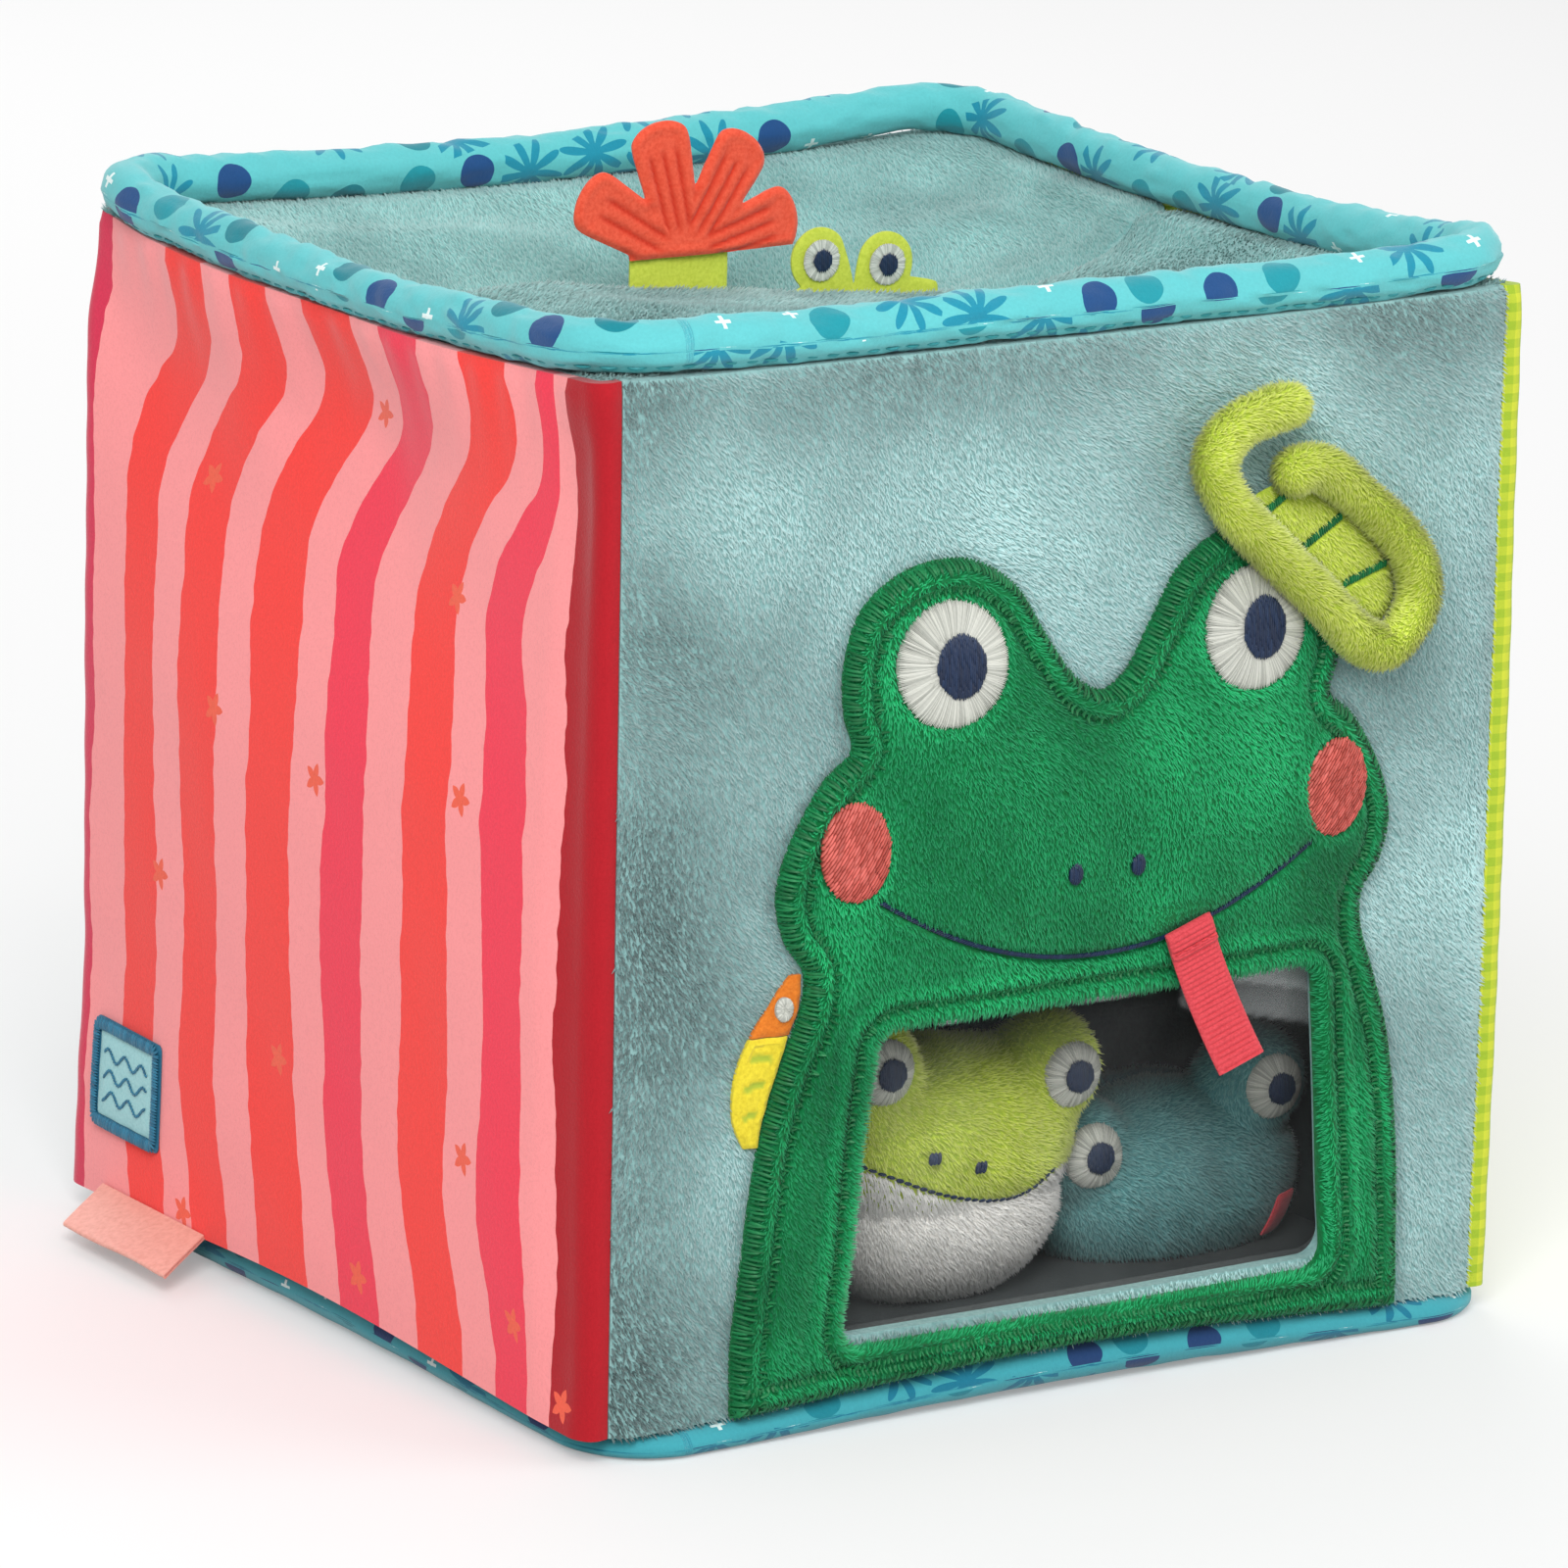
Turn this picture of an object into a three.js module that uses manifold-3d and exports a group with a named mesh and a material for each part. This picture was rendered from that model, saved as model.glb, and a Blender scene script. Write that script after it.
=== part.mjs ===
// Soft fabric block: a baby's activity cube with foam boards inside its cloth sides,
// a slit in the sunken top, a frog with a clear window on the front and two small
// stuffed frogs in a pocket behind the window.
// Millimetres. +Z is up, the origin is the middle of the base, and the frog looks to -Y.

import * as THREE from 'three';
import { mergeVertices } from 'three/addons/utils/BufferGeometryUtils.js';
import Module from 'manifold-3d';

const wasm = await Module();
wasm.setup();

// Block
const halfWidth = 104; // centre to the faces of the left and right sides
const halfDepth = 98; // centre to the faces of the front and back, at their seams
const seamHeight = 202; // top seam above the floor
const cornerRadius = 6; // the left and right sides wrap round the upright edges
const skinThickness = 3; // plush or jersey with its backing
const boardThickness = 8; // foam board behind each side
const fitGap = 0.3; // clearance between pieces that touch
const filmThickness = 0.6;
const pipingRadius = 4.8;
const pipingOverhang = 1.5; // top piping proud of the sides
const pipingBend = 16; // radius of the top piping's path at a corner
const basePipingBend = 14;
const baseFlat = 0.5; // the bottom piping is pressed flat this deep
const basePipingHalf = 2.7; // half its height at the corners, where the block weighs on it
const basePipingFull = 3.9; // and halfway along a side
const baseThickness = 3;
const baseBoardThickness = 6;
const flareReach = 60; // height over which the sides spread or draw in at the floor
const firstLevel = 18; // lowest of the sides' inner mesh rows
const topInset = 14;
const lastLevel = seamHeight - topInset;
const levelCount = 11;
const flatColumns = 10; // mesh columns on the flat part of a side, and on a wrapped corner
const cornerColumns = 3;
const flatShare = 0.85; // part of the mesh parameter that the flat takes
const cutReach = 400; // overrun of every cutting prism and block

// How each side bulges, spreads at the floor and dips at its rim. footProud is how far the
// middle of the piping under it stands out past its face, and footLift how far that rises.
const sides = {
  front: { wraps: false, crown: 6, rimSag: 0.5, rimBow: 0.5, flare: 3, footProud: 1, footLift: 1.7, dent: 0 },
  right: { wraps: true, crown: 2, rimSag: 4.5, rimBow: 0.5, flare: -3, footProud: -6, footLift: 0.4, dent: 0 },
  back: { wraps: false, crown: 4, rimSag: 3.5, rimBow: 1, flare: 1, footProud: -2, footLift: 0.4, dent: 0 },
  left: { wraps: true, crown: 2, rimSag: 3, rimBow: 1, flare: 2, footProud: -6, footLift: 0.8, dent: 7 },
};
const dentUp = 30; // the hollow across the left side, below its rim
const dentDown = 62;
const dentHeight = seamHeight - dentUp;

// Sunken top in two flaps with a slit between them
const flapThickness = 3;
const slitY = 18; // middle of the slit, behind the block's centre
const slitWidth = 8;
const frontFlapSag = 13; // deepest place of the front flap's lip
const lipSkewShares = [0.5, 2]; // powers that put the deepest place to the right
const lipPeakShare = 0.286; // largest value of the skewed curve
const rearFlapSag = 19;
const flapColumns = 14;
const flapRows = 6;

// Frog on the front
const frogX = 1.5; // its axis
const frogHalfWidth = 75.5;
const frogHeight = 163.2;
const frogThickness = 3;
const frogHalfShares = [
  [1, -0.04], [0.993, 0.147], [0.964, 0.294], [0.927, 0.38], [0.877, 0.448], [0.83, 0.51],
  [0.828, 0.548], [0.878, 0.583], [0.903, 0.63], [0.888, 0.672], [0.845, 0.716],
  [0.77, 0.765], [0.695, 0.795], [0.716, 0.833], [0.722, 0.888], [0.675, 0.953],
  [0.55, 0.993], [0.384, 1], [0.245, 0.965], [0.16, 0.904], [0.08, 0.852], [0, 0.833],
];
const windowTop = 77;
const windowBottom = 16;
const windowX = 2.2; // its middle, from the frog's axis
const windowHalfTop = 50.2;
const windowHalfBottom = 55;
const windowCorner = 4.5;
const filmMargin = 6; // film sewn in behind the window's edge
const boardOpening = 9; // the front board is cut farther back at the window's right
const threadThickness = 1; // embroidery
const eyeX = 33.5;
const eyeZ = 144.7;
const eyeRadii = [11.8, 12];
const pupilShift = 1.2;
const pupilRadii = [5, 5.9];
const cheekX = 53.6;
const cheekZ = 111.5;
const cheekRadii = [7.3, 9.3];
const nostrilX = 7.2;
const nostrilZ = 102.5;
const nostrilRadii = [1.5, 1.9];
const mouthHalf = 48;
const mouthZ = 86;
const mouthRise = 15.4;
const mouthWidth = 1.6;
const tongueX = 18.3; // ribbon's upper end, from the frog's axis
const tongueWidth = 10.5;
const tongueLength = 28.5;
const tongueThickness = 1;
const tongueTilt = 0.33; // radians from upright
const tongueCurl = 6; // its free end stands off this much

// Rolled leaf over the frog's right eye
const leafCorner = [23.4, 138.4]; // left and lowest reach of the roll's middle line
const leafSpan = 48;
const leafRadius = 4.5;
const leafRollShares = [
  [0.3, 0.71], [0.47, 0.75], [0.74, 0.575], [0.965, 0.34], [0.995, 0.155], [0.85, 0],
  [0.72, 0.035], [0.5, 0.235], [0.26, 0.455], [0.065, 0.65], [0, 0.81], [0.09, 0.93],
  [0.27, 0.99], [0.435, 1.02],
];
const leafPadShares = [[0.2, 0.62], [0.46, 0.69], [0.7, 0.54], [0.9, 0.32], [0.91, 0.15],
  [0.82, 0.08], [0.73, 0.11], [0.53, 0.29], [0.3, 0.51]];
const leafPadThickness = 1.6;
const veinShares = [[[0.27, 0.59], [0.37, 0.645]], [[0.46, 0.43], [0.64, 0.53]],
  [[0.66, 0.26], [0.86, 0.32]]];
const veinWidth = 1;
const veinThickness = 0.7;

// Felt fish on the frog's left flank, sewn along its right edge
const fishTop = 89.5;
const fishHeight = 33;
const fishWidth = 9;
const fishThickness = 1.5;
const fishHeadShare = 0.36; // part of its height that the head takes
const fishEyeRadius = 1.8;
const fishEyeThickness = 0.5;

// Woven patch low on the left side, and the folded label in its bottom seam
const patchY = 72.7;
const patchZ = 30.8;
const patchWidth = 27.5;
const patchHeight = 22;
const patchBorder = 2.4;
const patchThickness = 0.8;
const labelY = 61;
const labelWidth = 41;
const labelReach = 14.5;
const labelSkew = 9; // its free end lies this much nearer the front
const labelThickness = 1;
const labelRoot = 8.5;
const labelSlope = 0.27; // radians down to its free end

// Felt flower and felt frog that stand in the slit
const feltThickness = 1.5;
const tabDepth = 18; // the tabs reach this far below the top seam
const tabRootZ = seamHeight - tabDepth;
const flowerX = -17;
const calyxWidth = 22;
const petalDrop = 3; // the petals' common root below the top seam
const petalZ = seamHeight - petalDrop;
const petalLength = 27;
const petalRoot = 4.2;
const petalTip = 6.4;
const petalTurns = [2.6, 1.8, 0.98, 0.24]; // radians from +X
const peekX = 25;
const peekHalfWidth = 18;
const peekDrop = 12.5; // its brow below the top seam
const peekBrow = seamHeight - peekDrop;
const peekEyes = [[-9.8, 5.7], [5.5, 3.6]]; // from its middle and over its brow
const peekBump = 6.4;
const peekRing = 4.2;
const peekPupil = 2.1;
const peekThread = 0.5;

// Pocket behind the window, and the two stuffed frogs in it
const pocketSideGap = 6; // between the pocket and the boards beside it
const pocketDepth = 56;
const pocketHeight = 92;
const pocketCloth = 1.2;
const toyHalfWidth = 31;
const toyHalfDepth = 18;
const toyHeadHalf = 20; // half heights of head and belly
const toyBellyHalf = 19;
const toyBellyShare = 0.9;
const toyBump = 10.5;
const toyBumpX = 21.5;
const toyBumpZ = 15.5;
const toyEye = 6.6;
const toyPupil = 3.1;
const toyThread = 0.6;
// `behind` is a head's middle behind the front board's inner face at the corners, `headUp`
// and `bellyUp` are heights over the pocket's floor, and a belly lies `bellyBack` farther in
const toys = {
  lime: { x: -7.8, behind: 20.3, headUp: 30.4, bellyUp: 17, bellyBack: 0, tilt: -0.14, front: true },
  blue: { x: 50.9, behind: 28.8, headUp: 11.7, bellyUp: 12, bellyBack: 9, tilt: 0.19, front: false },
};
const partingX = 20.6; // upright plane where the two toys press together
const partingBehind = 24.3;
const partingTurn = 0.12; // radians from +X to its normal
const toyTongueWidth = 5;
const toyTongueLength = 7;
const toyTongueSpot = [17.5, -9.2]; // from the head's middle

const colours = {
  tealPlush: 0x8fbdbb, pinkJersey: 0xff8f92, limeCheck: 0xd3da2b, turquoisePrint: 0x58c5c9,
  foam: 0xe6e4dc, darkLining: 0x4a4f50, clearFilm: 0xdfe8ea, greenPlush: 0x1e9a55,
  whiteThread: 0xe8e6dc, navyThread: 0x1b3a63, coralThread: 0xee6b63, ribbon: 0xe9404b,
  limePlush: 0xb5d334, darkGreenThread: 0x1f7a3a, orangeFelt: 0xf08a24, yellowFelt: 0xf2de2e,
  coralFelt: 0xef5a43, calyxFelt: 0xc3cc4b, patchBlue: 0x1f6e8c, patchPale: 0xa9dfe0,
  labelPink: 0xf6b9ae, whitePlush: 0xece9e2, bluePlush: 0x5f979b, deepTeal: 0x3f7479,
};

const part = new THREE.Group();

// Adds one named piece with its own cloth or plastic
function addPiece(parent, name, geometry, colour, roughness = 0.9) {
  const material = new THREE.MeshStandardMaterial({ color: colours[colour], roughness, metalness: 0 });
  const mesh = new THREE.Mesh(geometry, material);
  mesh.name = name;
  parent.add(mesh);
  return mesh;
}

function toSolid(geometry) {
  const bare = geometry.clone();
  bare.deleteAttribute('normal');
  bare.deleteAttribute('uv');
  const merged = mergeVertices(bare);
  return new wasm.Manifold(new wasm.Mesh({
    numProp: 3,
    vertProperties: new Float32Array(merged.attributes.position.array),
    triVerts: new Uint32Array(merged.index.array),
  }));
}

function toGeometry(solid) {
  const mesh = solid.getMesh();
  const geometry = new THREE.BufferGeometry();
  geometry.setAttribute('position', new THREE.BufferAttribute(new Float32Array(mesh.vertProperties), 3));
  geometry.setIndex(new THREE.BufferAttribute(new Uint32Array(mesh.triVerts), 1));
  geometry.computeVertexNormals();
  return geometry;
}

function meshFrom(positions, faces) {
  const geometry = new THREE.BufferGeometry();
  geometry.setAttribute('position', new THREE.Float32BufferAttribute(positions, 3));
  geometry.setIndex(faces);
  geometry.computeVertexNormals();
  return geometry;
}

// A sheet of cloth between two faces on one grid. place(u, v, depth) gives a point,
// with depth 0 on the outer face and 1 on the inner one.
function gridSlab(columns, rows, place) {
  const wide = columns.length;
  const positions = [];
  for (const depth of [0, 1]) {
    for (const v of rows) {
      for (const u of columns) positions.push(...place(u, v, depth));
    }
  }
  const at = (depth, i, j) => (depth * rows.length + j) * wide + i;
  const faces = [];
  const quad = (a, b, c, d) => faces.push(a, b, c, a, c, d);
  const lastColumn = wide - 1;
  const lastRow = rows.length - 1;
  for (let j = 0; j < lastRow; j += 1) {
    for (let i = 0; i < lastColumn; i += 1) {
      quad(at(0, i, j), at(0, i + 1, j), at(0, i + 1, j + 1), at(0, i, j + 1));
      quad(at(1, i, j), at(1, i, j + 1), at(1, i + 1, j + 1), at(1, i + 1, j));
    }
    quad(at(0, 0, j), at(0, 0, j + 1), at(1, 0, j + 1), at(1, 0, j));
    quad(at(0, lastColumn, j), at(1, lastColumn, j), at(1, lastColumn, j + 1), at(0, lastColumn, j + 1));
  }
  for (let i = 0; i < lastColumn; i += 1) {
    quad(at(0, i, 0), at(1, i, 0), at(1, i + 1, 0), at(0, i + 1, 0));
    quad(at(0, i, lastRow), at(0, i + 1, lastRow), at(1, i + 1, lastRow), at(1, i, lastRow));
  }
  return meshFrom(positions, faces);
}

// A roll along points, closed on itself or capped at both ends. It is round, or `heights` tall.
function sweptRoll(points, radii, ringSides, closed, reference, heights = radii) {
  const count = points.length;
  const positions = [];
  const faces = [];
  points.forEach((point, i) => {
    const next = points[closed ? (i + 1) % count : Math.min(i + 1, count - 1)];
    const last = points[closed ? (i + count - 1) % count : Math.max(i - 1, 0)];
    const along = next.clone().sub(last).normalize();
    const across = along.clone().cross(reference).normalize();
    const upward = across.clone().cross(along).normalize();
    for (let k = 0; k < ringSides; k += 1) {
      const angle = (2 * Math.PI * k) / ringSides;
      const place = point.clone();
      place.addScaledVector(across, radii[i] * Math.cos(angle));
      place.addScaledVector(upward, heights[i] * Math.sin(angle));
      positions.push(place.x, place.y, place.z);
    }
  });
  const at = (i, k) => (i % count) * ringSides + (k % ringSides);
  for (let i = 0; i < (closed ? count : count - 1); i += 1) {
    for (let k = 0; k < ringSides; k += 1) {
      faces.push(at(i, k), at(i + 1, k), at(i + 1, k + 1));
      faces.push(at(i, k), at(i + 1, k + 1), at(i, k + 1));
    }
  }
  if (!closed) {
    for (let k = 1; k < ringSides - 1; k += 1) {
      faces.push(at(0, 0), at(0, k), at(0, k + 1));
      faces.push(at(count - 1, 0), at(count - 1, k + 1), at(count - 1, k));
    }
  }
  return meshFrom(positions, faces);
}

// Smooth hump, 1 in the middle and 0 beyond either end
const hump = (t) => (Math.abs(t) < 1 ? (1 - t * t) ** 2 : 0);
const dome = (t) => Math.max(0, 1 - t * t);
const mix = (a, b, t) => a + (b - a) * t;
const steps = (count, low, high) => Array.from({ length: count + 1 }, (_, i) => mix(low, high, i / count));

// Form of a side. `along` runs from one upright seam to the other. The left and right
// sides wrap round the corners, and the seams lie in the faces of the front and back.
const sideReach = (side) => (side.wraps ? halfDepth : halfWidth - cornerRadius);
const flatHalf = (side) => (side.wraps ? halfDepth - cornerRadius : sideReach(side));
const faceOf = (side) => (side.wraps ? halfWidth : halfDepth);
const footOut = (side) => faceOf(side) + side.footProud;
const footShare = (side, along) => dome(along / sideReach(side)) ** 2;
const footHalf = (side, along) => mix(basePipingHalf, basePipingFull, footShare(side, along));
const footZ = (side, along) => side.footLift * footShare(side, along) + footHalf(side, along) - baseFlat;
const hemEdge = (side, along) => footZ(side, along) + footHalf(side, along) + fitGap;
const rimEdge = (side, along) => seamHeight - side.rimSag * dome(along / sideReach(side));
const flareAt = (side, z) => 1 + (side.flare * hump(z / flareReach)) / faceOf(side);
const order = ['front', 'right', 'back', 'left'];
const turnOf = (name) => (order.indexOf(name) * Math.PI) / 2;
function besideOf(side, sign) {
  const index = order.findIndex((name) => sides[name] === side);
  return sides[order[(index + (sign < 0 ? 3 : 1)) % 4]];
}

function swell(side, along, z) {
  const across = dome(along / sideReach(side));
  const upShare = (2 * z) / seamHeight - 1;
  const dentRun = z > dentHeight ? dentUp : dentDown;
  const sink = side.dent * hump((z - dentHeight) / dentRun) * across;
  const bow = side.rimBow * across * hump((z - seamHeight) / dentUp);
  return side.crown * across * dome(upShare) - sink + bow;
}

// Point of a side in its own frame, facing -Y, `lift` proud of its cloth
function sidePoint(side, u, level, lift) {
  const share = side.wraps ? flatShare : 1;
  let along = (u / share) * flatHalf(side);
  let spread = along;
  let out = faceOf(side) + lift;
  if (Math.abs(u) > share) {
    const turn = ((Math.abs(u) - share) / (1 - share)) * (Math.PI / 2);
    along = Math.sign(u) * (flatHalf(side) + cornerRadius * Math.sin(turn));
    spread = Math.sign(u) * (flatHalf(side) + (cornerRadius + lift) * Math.sin(turn));
    out = faceOf(side) - cornerRadius + (cornerRadius + lift) * Math.cos(turn);
  }
  const z = level(along);
  const growOut = flareAt(side, z);
  const growAlong = flareAt(besideOf(side, u), z);
  const seamGap = Math.abs(u) >= 1 ? fitGap / 2 : 0;
  const gapAlong = side.wraps ? 0 : Math.sign(u) * seamGap;
  const gapOut = side.wraps ? seamGap : 0;
  return [spread * growAlong - gapAlong, -(out + swell(side, along, z)) * growOut - gapOut, z];
}

function skinColumns(side) {
  const share = side.wraps ? flatShare : 1;
  const columns = [];
  for (let i = 0; i <= flatColumns; i += 1) columns.push(share * ((2 * i) / flatColumns - 1));
  if (!side.wraps) return columns;
  const corner = steps(cornerColumns, share, 1).slice(1);
  return [...corner.map((u) => -u).reverse(), ...columns, ...corner];
}

// Heights of a side's mesh rows, each a function of the place along the side
function levels(lowEdge, highEdge) {
  const rows = [lowEdge];
  for (let i = 0; i < levelCount; i += 1) {
    const z = mix(firstLevel, lastLevel, i / (levelCount - 1));
    rows.push(() => z);
  }
  rows.push(highEdge);
  return rows;
}

function sideSheet(side, lowLift, highLift) {
  const rows = levels((along) => hemEdge(side, along), (along) => rimEdge(side, along));
  return gridSlab(skinColumns(side), rows, (u, level, depth) => (
    sidePoint(side, u, level, depth ? lowLift : highLift)
  ));
}

// Cutting prisms run along Y through the front, from an outline in X and Z
function frontPrism(shape) {
  const geometry = new THREE.ExtrudeGeometry(shape, { depth: cutReach, bevelEnabled: false, curveSegments: 1 });
  geometry.rotateX(Math.PI / 2);
  return toSolid(geometry);
}

const shapeOf = (points) => new THREE.Shape(points.map(([x, z]) => new THREE.Vector2(x, z)));

function ellipse(x, z, radii, count) {
  const points = [];
  for (let i = 0; i < count; i += 1) {
    const angle = (2 * Math.PI * i) / count;
    points.push([x + radii[0] * Math.cos(angle), z + radii[1] * Math.sin(angle)]);
  }
  return shapeOf(points);
}

// Rounded window outline, wider at its foot, grown by a margin and farther at the right
function windowShape(margin, rightMore = 0) {
  const rightGrowth = margin + rightMore;
  const corners = [
    [-windowHalfBottom - margin, windowBottom - margin], [windowHalfBottom + rightGrowth, windowBottom - margin],
    [windowHalfTop + rightGrowth, windowTop + margin], [-windowHalfTop - margin, windowTop + margin],
  ];
  const points = [];
  const bendSteps = 4;
  corners.forEach(([x, z], index) => {
    const start = Math.PI + (index * Math.PI) / 2;
    const inward = [x > 0 ? -windowCorner : windowCorner, index < 2 ? windowCorner : -windowCorner];
    for (let i = 0; i <= bendSteps; i += 1) {
      const angle = start + (i / bendSteps) * (Math.PI / 2);
      points.push([
        frogX + windowX + x + inward[0] + windowCorner * Math.cos(angle),
        z + inward[1] + windowCorner * Math.sin(angle),
      ]);
    }
  });
  return shapeOf(points);
}

// Cloth layers that lie one on another over the front
const filmLift = -skinThickness - fitGap - filmThickness;
const boardOuterLift = filmLift - fitGap;
const boardInnerLift = boardOuterLift - boardThickness;
const boardInnerX = halfWidth + boardInnerLift; // centre to the boards' inner faces
const boardInnerY = halfDepth + boardInnerLift;
const frogLift = fitGap;
const frogTop = frogLift + frogThickness;
const threadLift = frogTop + fitGap;
const threadTop = threadLift + threadThickness;
const overThread = threadTop + fitGap;

const windowHole = frontPrism(windowShape(0));
const boardHole = frontPrism(windowShape(0, boardOpening));
const onFront = (lowLift, highLift, shape) => (
  toSolid(sideSheet(sides.front, lowLift, highLift)).intersect(frontPrism(shape))
);

// Sides
for (const [name, side] of Object.entries(sides)) {
  const skin = toSolid(sideSheet(side, -skinThickness, 0));
  const cloth = { front: 'tealPlush', right: 'limeCheck', back: 'tealPlush', left: 'pinkJersey' }[name];
  const panel = name === 'front' ? skin.subtract(windowHole) : skin;
  addPiece(part, `${name}_panel`, toGeometry(panel), cloth).rotation.z = turnOf(name);
}

// Piping: a ring over the top seams, and a flatter one under the sides' lower edges
function roundedRing(outs, bend, straightSteps, bendSteps) {
  const spots = [];
  order.forEach((name, quarter) => {
    const turn = turnOf(name);
    const half = outs[name];
    const before = outs[order[(quarter + 3) % 4]] - bend;
    const after = outs[order[(quarter + 1) % 4]] - bend;
    const push = (along, out) => spots.push({
      side: sides[name],
      along: Math.min(Math.max(along, -sideReach(sides[name])), sideReach(sides[name])),
      x: along * Math.cos(turn) + out * Math.sin(turn),
      y: along * Math.sin(turn) - out * Math.cos(turn),
      turn,
    });
    for (const along of steps(straightSteps, -before, after)) push(along, half);
    for (let i = 1; i < bendSteps; i += 1) {
      const angle = (i / bendSteps) * (Math.PI / 2);
      push(after + bend * Math.sin(angle), half - bend + bend * Math.cos(angle));
    }
  });
  return spots;
}
const ringOuts = (out) => Object.fromEntries(order.map((name) => [name, out(sides[name])]));

const pipingSteps = 8;
const pipingBendSteps = 5;
const pipingSides = 10;
const upright = new THREE.Vector3(0, 0, 1);

const topOuts = ringOuts((side) => faceOf(side) + pipingOverhang - pipingRadius);
const topPath = roundedRing(topOuts, pipingBend, pipingSteps, pipingBendSteps).map((spot) => {
  const bow = swell(spot.side, spot.along, rimEdge(spot.side, spot.along));
  const z = rimEdge(spot.side, spot.along) + fitGap + pipingRadius;
  return new THREE.Vector3(spot.x + bow * Math.sin(spot.turn), spot.y - bow * Math.cos(spot.turn), z);
});
addPiece(part, 'top_piping',
  sweptRoll(topPath, topPath.map(() => pipingRadius), pipingSides, true, upright), 'turquoisePrint', 0.8);

const baseSpots = roundedRing(ringOuts(footOut), basePipingBend, pipingSteps, pipingBendSteps);
const basePath = baseSpots.map((spot) => new THREE.Vector3(spot.x, spot.y, footZ(spot.side, spot.along)));
const baseHeights = baseSpots.map((spot) => footHalf(spot.side, spot.along));
const floorCut = toSolid(new THREE.BoxGeometry(cutReach, cutReach, cutReach)).translate([0, 0, -cutReach / 2]);
const baseRoll = toSolid(
  sweptRoll(basePath, basePath.map(() => pipingRadius), pipingSides, true, upright, baseHeights),
);
addPiece(part, 'bottom_piping', toGeometry(baseRoll.subtract(floorCut)), 'turquoisePrint', 0.8);

// Base cloth and board inside the bottom ring
function roundedPlate(outs, bend, thickness) {
  const outline = roundedRing(outs, bend, 1, pipingBendSteps).map(({ x, y }) => [x, y]);
  return new THREE.ExtrudeGeometry(shapeOf(outline), { depth: thickness, bevelEnabled: false });
}
const baseOuts = ringOuts((side) => footOut(side) - pipingRadius - fitGap);
addPiece(part, 'bottom_panel', roundedPlate(baseOuts, basePipingBend, baseThickness), 'turquoisePrint');
const boardHalfX = boardInnerX - fitGap;
const boardHalfY = boardInnerY - fitGap;
const boardOuts = ringOuts((side) => (side.wraps ? boardHalfX : boardHalfY));
const basePlate = roundedPlate(boardOuts, basePipingBend, baseBoardThickness);
const baseBoard = addPiece(part, 'base_board', basePlate, 'foam');
baseBoard.position.z = baseThickness + fitGap;
const baseBoardTop = baseThickness + fitGap + baseBoardThickness;

// Foam boards behind the four sides, with the window cut through the front one
const boardFoot = Math.max(...order.map((name) => hemEdge(sides[name], 0)));
const boardTopGap = flapThickness + 6 * fitGap;
for (const [name, side] of Object.entries(sides)) {
  const end = side.wraps ? (flatShare * boardHalfY) / flatHalf(side) : boardHalfX / flatHalf(side);
  const columns = steps(flatColumns, -end, end);
  const rows = levels(() => boardFoot, (along) => rimEdge(side, along) - boardTopGap);
  const board = toSolid(gridSlab(columns, rows, (u, level, depth) => (
    sidePoint(side, u, level, depth ? boardInnerLift : boardOuterLift)
  )));
  const solid = name === 'front' ? board.subtract(boardHole) : board;
  addPiece(part, `${name}_board`, toGeometry(solid), 'foam').rotation.z = turnOf(name);
}

// Top flaps: their outer edges lie under the piping, and the slit lies between them
const flapHalfX = halfWidth - skinThickness - fitGap;
const flapHalfY = halfDepth - skinThickness - fitGap;
const rimShares = (s) => ((1 + s) / 2) ** 2;
function rimLevel(x, y) {
  const across = x / flapHalfX;
  const deep = y / flapHalfY;
  const drop = sides.left.rimSag * dome(deep) * rimShares(-across)
    + sides.right.rimSag * dome(deep) * rimShares(across)
    + sides.front.rimSag * dome(across) * rimShares(-deep)
    + sides.back.rimSag * dome(across) * rimShares(deep);
  return seamHeight - drop;
}
// The flaps lie flat over the boards' edges and sag inside them
const sagHalfX = boardInnerX - fitGap;
const sagHalfY = boardInnerY - fitGap;
function lipDip(x) {
  const share = Math.min(Math.max((x / sagHalfX + 1) / 2, 0), 1);
  const skew = (1 - share) ** lipSkewShares[0] * share ** lipSkewShares[1];
  return (frontFlapSag * skew) / lipPeakShare;
}
const frontLipY = slitY - slitWidth / 2;
const rearLipY = slitY + slitWidth / 2;
function flapTop(x, y, front) {
  const run = front ? (y + sagHalfY) / (frontLipY + sagHalfY) : (sagHalfY - y) / (sagHalfY - rearLipY);
  const depth = front ? lipDip(x) : rearFlapSag * dome(x / sagHalfX) ** 0.6;
  return rimLevel(x, y) - depth * Math.sin(Math.max(0, run) * (Math.PI / 2));
}
const flapOuts = ringOuts((side) => (side.wraps ? flapHalfX : flapHalfY));
const flapOutline = toSolid(roundedPlate(flapOuts, cornerRadius - skinThickness, cutReach));
for (const [name, front, low, high] of [
  ['top_front_flap', true, -sagHalfY, frontLipY], ['top_rear_flap', false, rearLipY, sagHalfY],
]) {
  const columns = [-flapHalfX, ...steps(flapColumns, -sagHalfX, sagHalfX), flapHalfX];
  const rows = steps(flapRows, low, high);
  if (front) rows.unshift(-flapHalfY);
  else rows.push(flapHalfY);
  const sheet = gridSlab(columns, rows, (x, y, depth) => (
    [x, y, flapTop(x, y, front) - depth * flapThickness]
  ));
  addPiece(part, name, toGeometry(toSolid(sheet).intersect(flapOutline)), 'tealPlush');
}

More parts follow.
